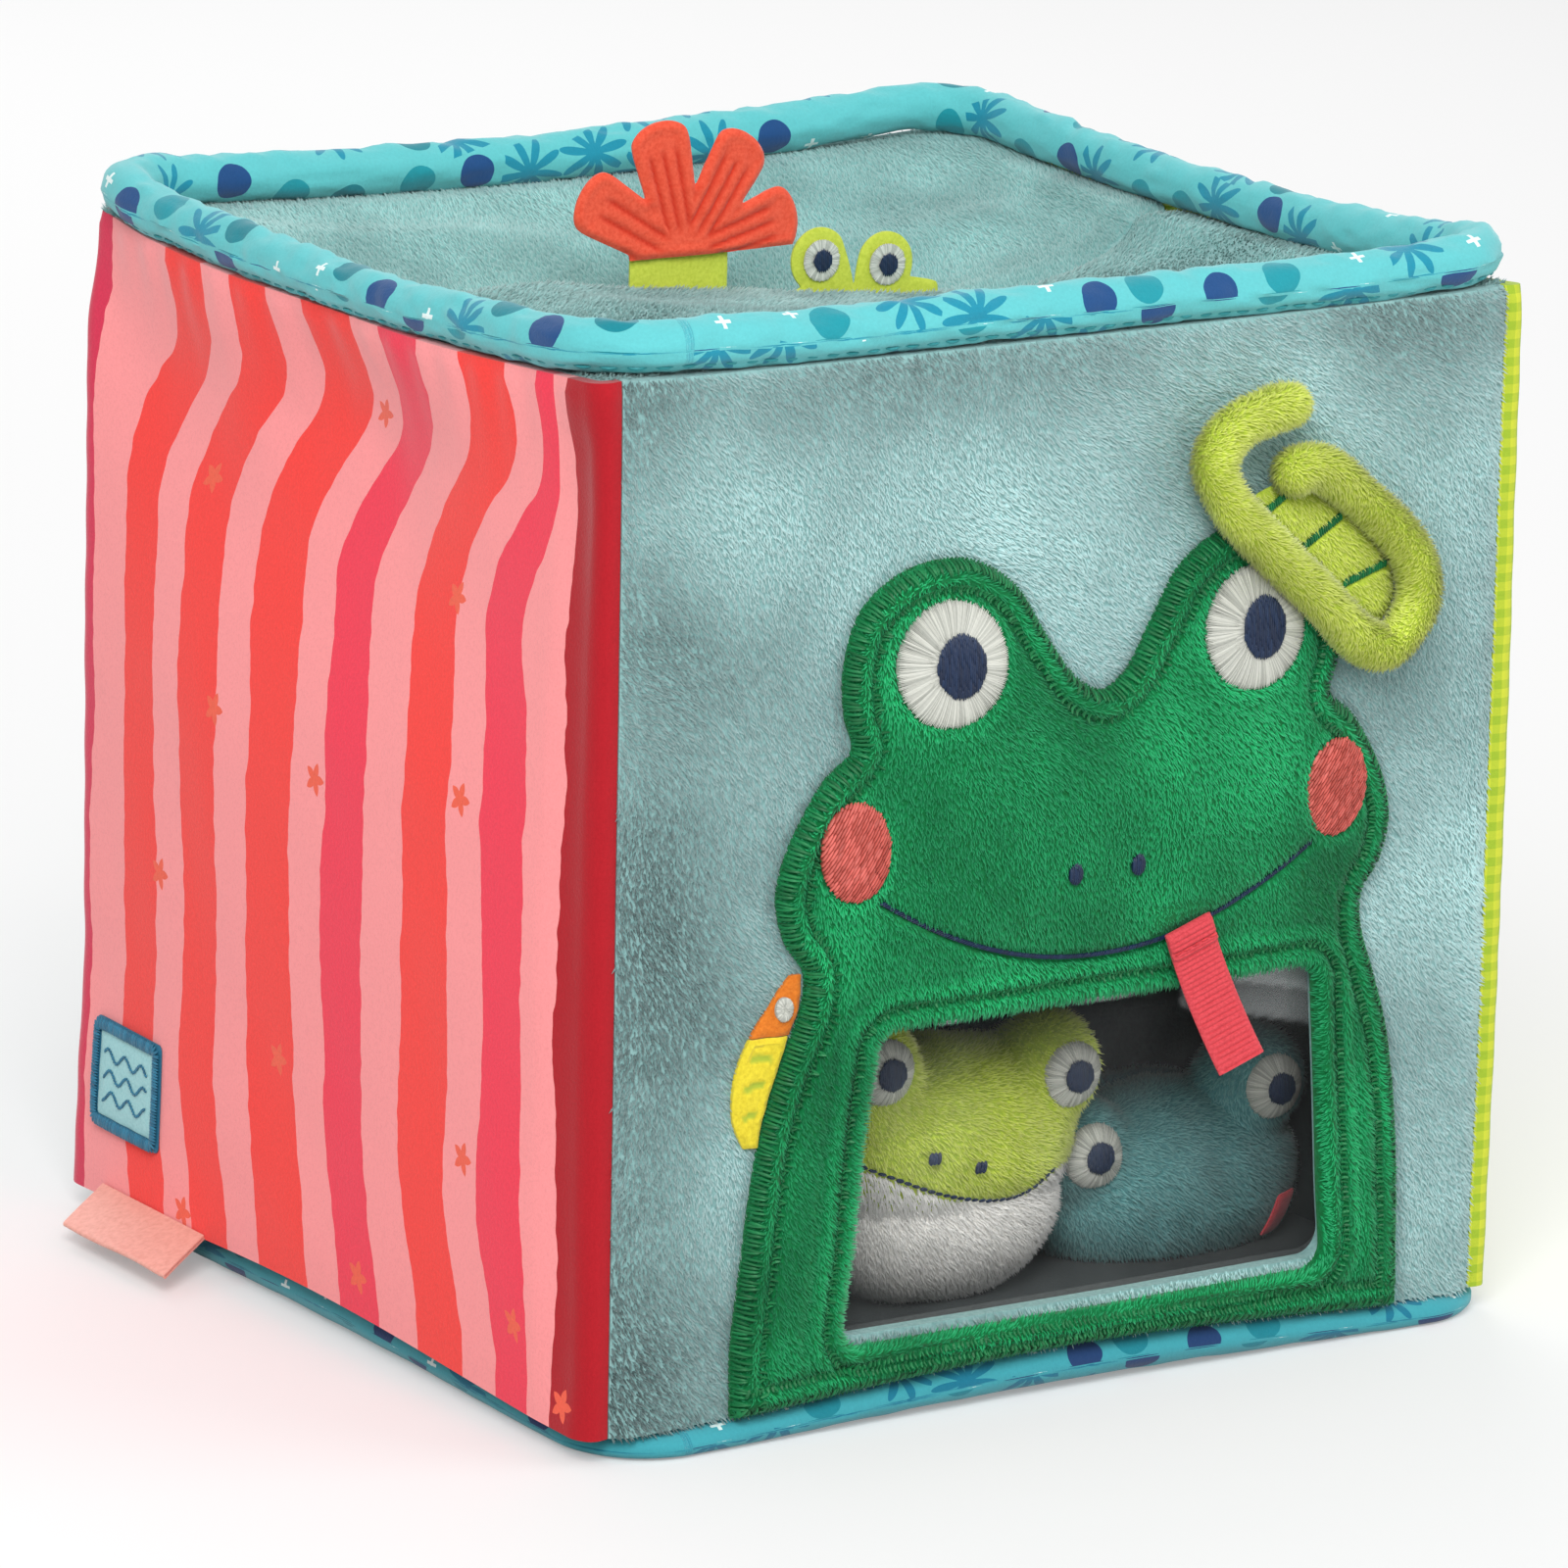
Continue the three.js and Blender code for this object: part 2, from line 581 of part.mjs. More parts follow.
// Frog on the front: plush figure, window film, embroidered face
function frogOutline() {
  const right = frogHalfShares.map(([x, z]) => new THREE.Vector3(x * frogHalfWidth, 0, z * frogHeight));
  const left = right.slice(0, -1).reverse().map((spot) => new THREE.Vector3(-spot.x, 0, spot.z));
  const curve = new THREE.CatmullRomCurve3([...right, ...left], false, 'centripetal');
  return shapeOf(curve.getPoints(3 * right.length).map((spot) => [frogX + spot.x, spot.z]));
}
const frogSolid = onFront(frogLift, frogTop, frogOutline());
addPiece(part, 'frog_applique', toGeometry(frogSolid.subtract(windowHole)), 'greenPlush');
addPiece(part, 'window_film',
  toGeometry(onFront(filmLift, -skinThickness - fitGap, windowShape(filmMargin))), 'clearFilm', 0.1);

const pupilTop = overThread + threadThickness;
const eyeSteps = 20;
const leafPlace = ([x, z]) => [leafCorner[0] + x * leafSpan, leafCorner[1] + z * leafSpan];
const frontOut = (x, z) => halfDepth + swell(sides.front, x, z);
const leafLine = new THREE.CatmullRomCurve3(leafRollShares.map((shares) => {
  const [x, z] = leafPlace(shares);
  return new THREE.Vector3(x, -frontOut(x, z) - threadLift - leafRadius, z);
}), false, 'centripetal');

// The roll's ends are rounded over by shrinking its radius
function leafRoll(radius) {
  const length = leafLine.getLength();
  const rings = 34;
  const ends = [0.08, 0.45, 1].map((share) => share * radius);
  const runs = [...ends];
  for (let i = 1; i < rings; i += 1) runs.push(mix(radius, length - radius, i / rings));
  runs.push(...ends.reverse().map((run) => length - run));
  const points = runs.map((run) => leafLine.getPointAt(run / length));
  const radii = runs.map((run) => {
    const inside = Math.min(run, length - run, radius);
    return Math.sqrt(radius ** 2 - (radius - inside) ** 2);
  });
  return sweptRoll(points, radii, 8, false, new THREE.Vector3(0, 1, 0));
}
const leafClear = toSolid(leafRoll(leafRadius + fitGap));

for (const [name, sign] of [['left', -1], ['right', 1]]) {
  const eye = onFront(threadLift, threadTop, ellipse(frogX + sign * eyeX, eyeZ, eyeRadii, eyeSteps));
  addPiece(part, `eye_${name}`, toGeometry(eye.subtract(leafClear)), 'whiteThread');
  const pupilX = frogX + sign * eyeX + pupilShift;
  const pupil = onFront(overThread, pupilTop, ellipse(pupilX, eyeZ, pupilRadii, eyeSteps));
  addPiece(part, `pupil_${name}`, toGeometry(pupil), 'navyThread');
  const cheek = onFront(threadLift, threadTop, ellipse(frogX + sign * cheekX, cheekZ, cheekRadii, eyeSteps));
  addPiece(part, `cheek_${name}`, toGeometry(cheek), 'coralThread');
  const nostril = onFront(threadLift, threadTop, ellipse(frogX + sign * nostrilX, nostrilZ, nostrilRadii, 10));
  addPiece(part, `nostril_${name}`, toGeometry(nostril), 'navyThread');
}

// Mouth: an arc of thread, and the ribbon tongue sewn on over it
const mouthCurve = (x) => mouthZ + mouthRise * (x / mouthHalf) ** 2;
const mouthLine = steps(22, -mouthHalf, mouthHalf);
const mouthShape = shapeOf([
  ...mouthLine.map((x) => [frogX + x, mouthCurve(x) - mouthWidth / 2]),
  ...mouthLine.map((x) => [frogX - x, mouthCurve(-x) + mouthWidth / 2]),
]);
addPiece(part, 'mouth_stitch', toGeometry(onFront(threadLift, threadTop, mouthShape)), 'navyThread');

const tongueFoldX = frogX + tongueX;
const tongueFoldZ = mouthCurve(tongueX) + mouthWidth;
const tongueFoldY = -frontOut(tongueFoldX, tongueFoldZ) - overThread;
const tongueSteps = 8;
const tongueHang = (run) => {
  const share = run / tongueLength;
  return [-tongueCurl * share ** 2, -run];
};
const tongueSide = steps(tongueSteps, 0, tongueLength).map(tongueHang);
const tongueShape = shapeOf([
  ...tongueSide,
  ...tongueSide.slice().reverse().map(([y, z]) => [y - tongueThickness, z]),
]);
const tongueGeometry = new THREE.ExtrudeGeometry(tongueShape, { depth: tongueWidth, bevelEnabled: false });
tongueGeometry.translate(0, 0, -tongueWidth / 2);
// The side outline lies in X and Y here: X becomes depth, Y height and Z the ribbon's width
tongueGeometry.applyMatrix4(new THREE.Matrix4().set(0, 0, 1, 0, 1, 0, 0, 0, 0, 1, 0, 0, 0, 0, 0, 1));
const tongue = addPiece(part, 'tongue_ribbon', tongueGeometry, 'ribbon', 0.6);
tongue.position.set(tongueFoldX, tongueFoldY, tongueFoldZ);
tongue.rotation.y = -tongueTilt;

// Leaf: a stuffed roll round a thin sunken pad with three stitched veins
addPiece(part, 'leaf_roll', leafRoll(leafRadius), 'limePlush');
const padTop = threadLift + leafPadThickness;
const leafPad = onFront(threadLift, padTop, shapeOf(leafPadShares.map(leafPlace)));
addPiece(part, 'leaf_pad', toGeometry(leafPad.subtract(leafClear)), 'limePlush');
veinShares.forEach((ends, index) => {
  const [from, to] = ends.map(leafPlace);
  const run = Math.hypot(to[0] - from[0], to[1] - from[1]);
  const side = [(-(to[1] - from[1]) / run) * (veinWidth / 2), ((to[0] - from[0]) / run) * (veinWidth / 2)];
  const vein = onFront(padTop + fitGap, padTop + fitGap + veinThickness, shapeOf([
    [from[0] - side[0], from[1] - side[1]], [to[0] - side[0], to[1] - side[1]],
    [to[0] + side[0], to[1] + side[1]], [from[0] + side[0], from[1] + side[1]],
  ]));
  addPiece(part, `leaf_vein_${index + 1}`, toGeometry(vein.subtract(leafClear)), 'darkGreenThread');
});

// Felt fish: its right edge follows the frog's edge, head up
const fishX = (z) => {
  const share = z / frogHeight;
  const rows = frogHalfShares;
  const index = Math.max(1, rows.findIndex((row) => row[1] >= share));
  const [low, high] = [rows[index - 1], rows[index]];
  return frogX - frogHalfWidth * mix(low[0], high[0], (share - low[1]) / (high[1] - low[1]));
};
const fishBottom = fishTop - fishHeight;
const fishJoin = fishTop - fishHeight * fishHeadShare;
const fishHalf = (z) => {
  const share = (z - fishBottom) / fishHeight;
  return fishWidth * Math.sin(Math.PI * Math.min(1, 0.06 + 0.9 * share)) ** 0.7;
};
function fishShape(low, high) {
  const heights = steps(8, low, high);
  return shapeOf([
    ...heights.map((z) => [fishX(z) + fishWidth, z]),
    ...heights.reverse().map((z) => [fishX(z) - fishHalf(z), z]),
  ]);
}
const frogClear = toSolid(sideSheet(sides.front, -fitGap, frogTop + fitGap))
  .intersect(frontPrism(frogOutline()).translate([-fitGap, 0, 0]));
const fishLift = fitGap + fishThickness;
for (const [name, low, high, colour] of [
  ['fish_body', fishBottom, fishJoin - fitGap / 2, 'yellowFelt'],
  ['fish_head', fishJoin + fitGap / 2, fishTop, 'orangeFelt'],
]) {
  const felt = onFront(fitGap, fishLift, fishShape(low, high)).subtract(frogClear);
  addPiece(part, name, toGeometry(felt), colour);
}
const fishEyeZ = mix(fishJoin, fishTop, 0.45);
const fishEye = onFront(fishLift + fitGap, fishLift + fitGap + fishEyeThickness,
  ellipse(fishX(fishEyeZ) - fishWidth * 0.45, fishEyeZ, [fishEyeRadius, fishEyeRadius], 12));
addPiece(part, 'fish_eye', toGeometry(fishEye), 'whiteThread');

// Patch and label on the left side
const leftFrame = new THREE.Group();
leftFrame.rotation.z = turnOf('left');
part.add(leftFrame);
const rectangle = (x, z, wide, high) => shapeOf([
  [x - wide / 2, z - high / 2], [x + wide / 2, z - high / 2],
  [x + wide / 2, z + high / 2], [x - wide / 2, z + high / 2],
]);
const patchSheet = toSolid(sideSheet(sides.left, fitGap, fitGap + patchThickness));
const patchOuter = frontPrism(rectangle(-patchY, patchZ, patchWidth, patchHeight));
const patchHole = frontPrism(rectangle(-patchY, patchZ, patchWidth - 2 * patchBorder, patchHeight - 2 * patchBorder));
const patchInset = 2 * patchBorder + 2 * fitGap;
const patchInner = frontPrism(rectangle(-patchY, patchZ, patchWidth - patchInset, patchHeight - patchInset));
addPiece(leftFrame, 'patch_border', toGeometry(patchSheet.intersect(patchOuter).subtract(patchHole)), 'patchBlue');
addPiece(leftFrame, 'patch_field', toGeometry(patchSheet.intersect(patchInner)), 'patchPale');

const labelOut = halfWidth * flareAt(sides.left, labelRoot) + fitGap + swell(sides.left, labelY, labelRoot);
const labelHalf = labelWidth / 2;
const labelShape = shapeOf([
  [-labelHalf, 0], [labelSkew - labelHalf, -labelReach], [labelSkew + labelHalf, -labelReach], [labelHalf, 0],
]);
const labelPlate = new THREE.ExtrudeGeometry(labelShape, { depth: labelThickness, bevelEnabled: false });
const label = addPiece(leftFrame, 'side_label', labelPlate.translate(0, 0, -labelThickness), 'labelPink', 0.7);
label.position.set(-labelY, -labelOut, labelRoot);
label.rotation.x = labelSlope;

// Flower in the slit: four fan petals in front of a calyx tab
const tabFace = frontLipY + fitGap;
function feltPlate(shape, front, thickness) {
  const geometry = new THREE.ExtrudeGeometry(shape, { depth: thickness, bevelEnabled: false });
  geometry.rotateX(Math.PI / 2);
  geometry.translate(0, front + thickness, 0);
  return geometry;
}
function petalShape(turn) {
  const points = [];
  const arc = steps(8, -Math.PI / 2, Math.PI / 2);
  const place = (run, aside) => [
    flowerX + run * Math.cos(turn) - aside * Math.sin(turn),
    petalZ + run * Math.sin(turn) + aside * Math.cos(turn),
  ];
  points.push(place(0, -petalRoot));
  for (const angle of arc) {
    points.push(place(petalLength - petalTip * (1 - Math.cos(angle)) * 0.6, petalTip * Math.sin(angle)));
  }
  points.push(place(0, petalRoot));
  return shapeOf(points);
}
const petalBack = tabFace - fitGap;
const petalSolids = petalTurns.map((turn) => toSolid(feltPlate(petalShape(turn), petalBack - feltThickness, feltThickness)));
const petalHub = toSolid(feltPlate(
  rectangle(flowerX, petalZ + petalRoot / 2, calyxWidth + petalRoot / 2, petalRoot), petalBack - feltThickness,
  feltThickness,
));
const belowPetals = floorCut.translate([0, 0, petalZ]);
const petals = petalSolids.reduce((whole, petal) => whole.add(petal), petalHub).subtract(belowPetals);
addPiece(part, 'flower_petals', toGeometry(petals), 'coralFelt');
const calyxTop = petalZ + petalRoot;
addPiece(part, 'flower_calyx', feltPlate(
  rectangle(flowerX, (calyxTop + tabRootZ) / 2, calyxWidth, calyxTop - tabRootZ), tabFace, feltThickness,
), 'calyxFelt');

// Felt frog that peeps out of the slit beside the flower
const peekSpots = peekEyes.map(([aside, up]) => [peekX + aside, peekBrow + up]);
const peekOutline = peekSpots.map(([x, z]) => ellipse(x, z, [peekBump, peekBump], 18));
const peekBody = rectangle(peekX, (peekBrow + tabRootZ) / 2, 2 * peekHalfWidth, peekBrow - tabRootZ);
const peekSolid = [...peekOutline, peekBody]
  .map((shape) => toSolid(feltPlate(shape, tabFace, feltThickness)))
  .reduce((whole, piece) => whole.add(piece));
addPiece(part, 'peek_frog', toGeometry(peekSolid), 'calyxFelt');
peekSpots.forEach(([x, z], index) => {
  const name = index ? 'right' : 'left';
  const ringFront = tabFace - fitGap - peekThread;
  const ring = ellipse(x, z, [peekRing, peekRing], 14);
  addPiece(part, `peek_eye_${name}`, feltPlate(ring, ringFront, peekThread), 'whiteThread');
  const pupil = ellipse(x, z, [peekPupil, peekPupil], 10);
  addPiece(part, `peek_pupil_${name}`, feltPlate(pupil, ringFront - fitGap - peekThread, peekThread), 'navyThread');
});

// Pocket of dark lining on the base board, open at the top and towards the window
const pocketFront = -boardHalfY;
const pocketHalf = boardHalfX - pocketSideGap;
const pocketFloor = baseBoardTop + fitGap;
const block = (low, high) => toSolid(
  new THREE.BoxGeometry(high[0] - low[0], high[1] - low[1], high[2] - low[2])
    .translate((high[0] + low[0]) / 2, (high[1] + low[1]) / 2, (high[2] + low[2]) / 2),
);
const pocketOuter = block(
  [-pocketHalf, pocketFront, pocketFloor],
  [pocketHalf, pocketFront + pocketDepth, pocketFloor + pocketHeight],
);
const pocketInner = block(
  [-pocketHalf + pocketCloth, pocketFront - pocketCloth, pocketFloor + pocketCloth],
  [pocketHalf - pocketCloth, pocketFront + pocketDepth - pocketCloth, pocketFloor + pocketHeight + pocketCloth],
);
addPiece(part, 'window_pocket', toGeometry(pocketOuter.subtract(pocketInner)), 'darkLining');

// Stuffed frogs. Each head and belly is an ellipsoid; eyes are patches of a thin shell round the head's bumps.
const toyFloor = pocketFloor + pocketCloth + fitGap;
const unitBall = new THREE.SphereGeometry(1, 16, 10).rotateX(Math.PI / 2);
function ball(centre, radii, grow) {
  const geometry = unitBall.clone();
  geometry.scale(radii[0] + grow, radii[1] + grow, radii[2] + grow);
  geometry.translate(centre[0], centre[1], centre[2]);
  return toSolid(geometry);
}
function addToy(name, toy, headColour, bellyColour, withTongue) {
  const centre = [toy.x, toy.behind - boardInnerY];
  // A place on the toy, `aside` and `up` from its head's middle, leaning with its tilt
  const headZ = toyFloor + toy.headUp;
  const spot = (aside, up) => [
    centre[0] + aside * Math.cos(toy.tilt) - up * Math.sin(toy.tilt),
    centre[1],
    headZ + aside * Math.sin(toy.tilt) + up * Math.cos(toy.tilt),
  ];
  const floor = floorCut.translate([0, 0, toyFloor]);
  const turnDegrees = (partingTurn * 180) / Math.PI;
  const away = toy.front ? cutReach / 2 - fitGap / 2 : fitGap / 2 - cutReach / 2;
  const otherToy = block([-cutReach / 2, -cutReach, -cutReach], [cutReach / 2, cutReach, cutReach])
    .translate([away, 0, 0])
    .rotate([0, 0, turnDegrees])
    .translate([partingX, partingBehind - boardInnerY, 0]);
  const trim = (solid) => solid.subtract(floor).subtract(otherToy);
  const headRadii = [toyHalfWidth, toyHalfDepth, toyHeadHalf];
  const bumpRadii = [toyBump, toyBump, toyBump];
  const bumpSpots = [-1, 1].map((sign) => {
    const [x, y, z] = spot(sign * toyBumpX, toyBumpZ);
    return [x, y - toyHalfDepth / 4, z];
  });
  const head = (grow) => ball(spot(0, 0), headRadii, grow)
    .add(ball(bumpSpots[0], bumpRadii, grow))
    .add(ball(bumpSpots[1], bumpRadii, grow));
  const bellySpot = [centre[0], centre[1] + toy.bellyBack, toyFloor + toy.bellyUp];
  const bellyRadii = [toyHalfWidth * toyBellyShare, toyHalfDepth * toyBellyShare, toyBellyHalf];
  const belly = (grow) => ball(bellySpot, bellyRadii, grow);
  addPiece(part, `${name}_toy_head`, toGeometry(trim(head(0))), headColour);
  addPiece(part, `${name}_toy_belly`, toGeometry(trim(belly(0)).subtract(head(fitGap))), bellyColour);
  const shell = (low, thick) => head(low + thick).subtract(head(low));
  bumpSpots.forEach(([x, , z], index) => {
    const side = index ? 'right' : 'left';
    const eyeLow = fitGap;
    const pupilLow = 2 * fitGap + toyThread;
    const inFront = block([-cutReach, -cutReach, -cutReach], [cutReach, centre[1] - toyHalfDepth / 4, cutReach]);
    const patch = (radius, low) => trim(shell(low, toyThread))
      .intersect(frontPrism(ellipse(x, z, [radius, radius], 14)))
      .intersect(inFront);
    addPiece(part, `${name}_toy_eye_${side}`, toGeometry(patch(toyEye, eyeLow)), 'whiteThread');
    addPiece(part, `${name}_toy_pupil_${side}`, toGeometry(patch(toyPupil, pupilLow)), 'navyThread');
  });
  if (withTongue) {
    const [x, , z] = spot(...toyTongueSpot);
    const inFront = block([-cutReach, -cutReach, -cutReach], [cutReach, centre[1], cutReach]);
    const whole = (grow) => head(grow).add(belly(grow));
    const tongueShell = whole(fitGap + toyThread).subtract(whole(fitGap));
    const tongueSolid = trim(tongueShell).intersect(inFront)
      .intersect(frontPrism(rectangle(x, z, toyTongueWidth, toyTongueLength)));
    addPiece(part, `${name}_toy_tongue`, toGeometry(tongueSolid), 'ribbon', 0.6);
  }
}
addToy('lime', toys.lime, 'limePlush', 'whitePlush', false);
addToy('blue', toys.blue, 'bluePlush', 'deepTeal', true);

export default part;
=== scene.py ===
import math

import bpy
import numpy as np
from mathutils import Matrix, Vector, geometry


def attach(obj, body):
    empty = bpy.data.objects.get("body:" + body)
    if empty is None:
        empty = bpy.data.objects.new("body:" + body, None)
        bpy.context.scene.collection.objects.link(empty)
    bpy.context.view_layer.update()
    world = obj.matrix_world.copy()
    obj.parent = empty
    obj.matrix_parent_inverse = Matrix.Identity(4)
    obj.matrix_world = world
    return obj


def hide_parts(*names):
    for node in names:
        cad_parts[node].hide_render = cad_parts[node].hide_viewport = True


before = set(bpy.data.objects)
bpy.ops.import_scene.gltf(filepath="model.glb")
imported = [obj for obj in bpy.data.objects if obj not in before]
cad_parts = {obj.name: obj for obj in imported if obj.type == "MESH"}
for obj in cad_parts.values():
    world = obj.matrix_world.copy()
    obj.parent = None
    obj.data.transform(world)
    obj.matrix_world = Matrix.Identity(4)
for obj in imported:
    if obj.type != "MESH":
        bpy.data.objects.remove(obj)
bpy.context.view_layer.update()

# Soft fabric activity block: foam boards in cloth sides, a plush frog with a clear window
# on the front, and two stuffed frogs behind the window. Sizes are in millimetres here,
# and makePiece turns them to metres. The frog looks to -Y and the block stands on Z = 0.

mm = 0.001

block = {
    "halfWidth": 104,  # centre to the faces of the left and right sides
    "halfDepth": 98,  # centre to the front and back at their seams
    "seamHeight": 202,
    "cornerRadius": 6,
    "skin": 3,
    "board": 8,
    "gap": 0.3,
    "film": 0.6,
    "flareReach": 60,
    "dentUp": 30,
    "dentDown": 62,
}
sides = {
    "front": {"turn": 0, "wraps": False, "crown": 6, "rimSag": 0.5, "rimBow": 0.5,
              "flare": 3, "footProud": 1, "footLift": 1.7, "dent": 0},
    "right": {"turn": 1, "wraps": True, "crown": 2, "rimSag": 4.5, "rimBow": 0.5,
              "flare": -3, "footProud": -6, "footLift": 0.4, "dent": 0},
    "back": {"turn": 2, "wraps": False, "crown": 4, "rimSag": 3.5, "rimBow": 1,
             "flare": 1, "footProud": -2, "footLift": 0.4, "dent": 0},
    "left": {"turn": 3, "wraps": True, "crown": 2, "rimSag": 3, "rimBow": 1,
             "flare": 2, "footProud": -6, "footLift": 0.8, "dent": 7},
}
sideNames = list(sides)
piping = {"radius": 4.8, "overhang": 1.5, "bend": 16, "baseBend": 14, "baseFlat": 0.5,
          "baseHalf": 2.7, "baseFull": 3.9}


# Smooth random relief between -1 and 1, with features about `size` across
def softNoise(x, y, size, seed):
    table = np.random.default_rng(seed).uniform(-1, 1, (64, 64))
    u = np.asarray(x, float) / size
    v = np.asarray(y, float) / size
    i = np.floor(u).astype(int)
    j = np.floor(v).astype(int)
    f = u - i
    g = v - j
    f = f * f * (3 - 2 * f)
    g = g * g * (3 - 2 * g)
    low = table[i % 64, j % 64] * (1 - f) + table[(i + 1) % 64, j % 64] * f
    high = table[i % 64, (j + 1) % 64] * (1 - f) + table[(i + 1) % 64, (j + 1) % 64] * f
    return low * (1 - g) + high * g


def dome(t):
    return np.maximum(0, 1 - np.asarray(t) ** 2)


def hump(t):
    return dome(t) ** 2


def bell(t):
    return np.exp(-t ** 2)


def ease(t):
    t = np.clip(t, 0, 1)
    return t * t * (3 - 2 * t)


# Falls from 1 to 0 as t goes from 0 to 1
def fade(t):
    return 1 - ease(t)


# The sides' form: the same crown, dent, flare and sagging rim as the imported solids
def flatHalf(side):
    return block["halfDepth"] - block["cornerRadius"] if side["wraps"] else sideReach(side)


def sideReach(side):
    return block["halfDepth"] if side["wraps"] else block["halfWidth"] - block["cornerRadius"]


def faceOf(side):
    return block["halfWidth"] if side["wraps"] else block["halfDepth"]


# Half the cloth's width, measured round the corners
def clothReach(side):
    return flatHalf(side) + (block["cornerRadius"] * math.pi / 2 if side["wraps"] else 0)


def rimEdge(side, along):
    return block["seamHeight"] - side["rimSag"] * dome(along / sideReach(side))


def footHalf(side, along):
    share = dome(along / sideReach(side)) ** 2
    return piping["baseHalf"] + (piping["baseFull"] - piping["baseHalf"]) * share


def footZ(side, along):
    lift = side["footLift"] * dome(along / sideReach(side)) ** 2
    return lift + footHalf(side, along) - piping["baseFlat"]


def hemEdge(side, along):
    return footZ(side, along) + footHalf(side, along) + block["gap"]


def flareAt(side, z):
    return 1 + side["flare"] * hump(z / block["flareReach"]) / faceOf(side)


def swell(side, along, z):
    across = dome(along / sideReach(side))
    dentHeight = block["seamHeight"] - block["dentUp"]
    run = np.where(z > dentHeight, block["dentUp"], block["dentDown"])
    sink = side["dent"] * hump((z - dentHeight) / run) * across
    bow = side["rimBow"] * across * hump((z - block["seamHeight"]) / block["dentUp"])
    return side["crown"] * across * dome(2 * z / block["seamHeight"] - 1) - sink + bow


# Point of a side at s along its cloth and z up, `lift` proud of the smooth form
def sideAt(name, s, z, lift):
    side = sides[name]
    s, z, lift = (np.asarray(a, float) for a in np.broadcast_arrays(s, z, lift))
    radius = block["cornerRadius"]
    over = np.clip(np.abs(s) - flatHalf(side), 0, None) if side["wraps"] else 0 * s
    angle = np.minimum(over / radius, math.pi / 2)
    past = over - angle * radius
    sign = np.sign(s)
    along = np.where(over > 0, sign * (flatHalf(side) + radius * np.sin(angle)), s)
    spread = np.where(over > 0, sign * (flatHalf(side) + (radius + lift) * np.sin(angle)), s)
    out = faceOf(side) + lift - (radius + lift) * (1 - np.cos(angle)) - past
    index = sideNames.index(name)
    before = sides[sideNames[index - 1]]
    after = sides[sideNames[(index + 1) % 4]]
    across = spread * np.where(s < 0, flareAt(before, z), flareAt(after, z))
    away = (out + swell(side, along, z)) * flareAt(side, z)
    turn = side["turn"] * math.pi / 2
    return np.stack([
        across * math.cos(turn) + away * math.sin(turn),
        across * math.sin(turn) - away * math.cos(turn),
        z + 0 * s,
    ], -1)


# Cloth sinks into its seams, gathers along them and waves gently between them
def folds(name, s, z):
    side = sides[name]
    reach = clothReach(side)
    toSide = reach - np.abs(s)
    toTop = rimEdge(side, np.clip(s, -sideReach(side), sideReach(side))) - z
    calm = ease(toSide / 16) * ease(toTop / 14) * ease((z - 8) / 14)
    if name == "front":  # sewn down round the window
        calm = calm * (1 - 0.9 * hump((s - 1.5) / 92) * hump((z - 45) / 80))
    seed = 10 * side["turn"]
    wave = {"front": 1.15, "right": 0.5, "back": 0.9, "left": 0.6}[name]
    lift = wave * softNoise(s, z, 41, seed + 1) * calm
    lift += 0.45 * wave * softNoise(s + 0.4 * z, z, 17, seed + 2) * calm
    gather = np.sin(2 * math.pi * (s + 3 * softNoise(s, z, 24, seed + 3)) / 10.5)
    lift += 0.4 * gather * np.exp(-toTop / 9) * ease(toTop / 3)
    pucker = np.sin(2 * math.pi * (z + 5 * softNoise(s, z, 30, seed + 4)) / 15)
    drawn = {"front": 0.4, "right": 0.12, "back": 0.4, "left": 0.15}[name]
    lift += drawn * pucker * np.exp(-toSide / 8) * ease(toSide / 4)
    lift -= 1.5 * fade(toSide / 4.5) + 0.5 * fade(toTop / 2.5)
    if name == "left":  # soft ridges that run down from the dented rim
        ridge = np.sin((s + 10) / 13 + 0.02 * z) * hump((z - 182) / 34)
        lift += 1.3 * ridge * ease(toSide / 20)
        lift -= 3.2 * fade(toTop / 26) * fade((s + clothReach(side)) / 34)
        lift -= 1.3 * hump((s - 90.5) / 11) * ease((toTop - 4) / 10) * ease(z / 20)
    if name == "front":  # slanting creases from the upper corners
        crease = bell((s + 92 - 0.62 * (z - 120)) / 7) * hump((z - 172) / 42)
        lift += 1.1 * crease * ease(toSide / 10) * ease(toTop / 8)
        crease = bell((s - 70 + 0.9 * (z - 178)) / 8) * hump((z - 180) / 30)
        lift -= 0.8 * crease
    return lift


def clothAt(name, s, z, lift):
    return sideAt(name, s, z, lift + folds(name, s, z))


def unit(rows):
    return rows / np.linalg.norm(rows, axis=1)[:, None]


# Angles that share a full turn evenly
def fullTurn(count):
    return np.arange(count) / count * 2 * math.pi


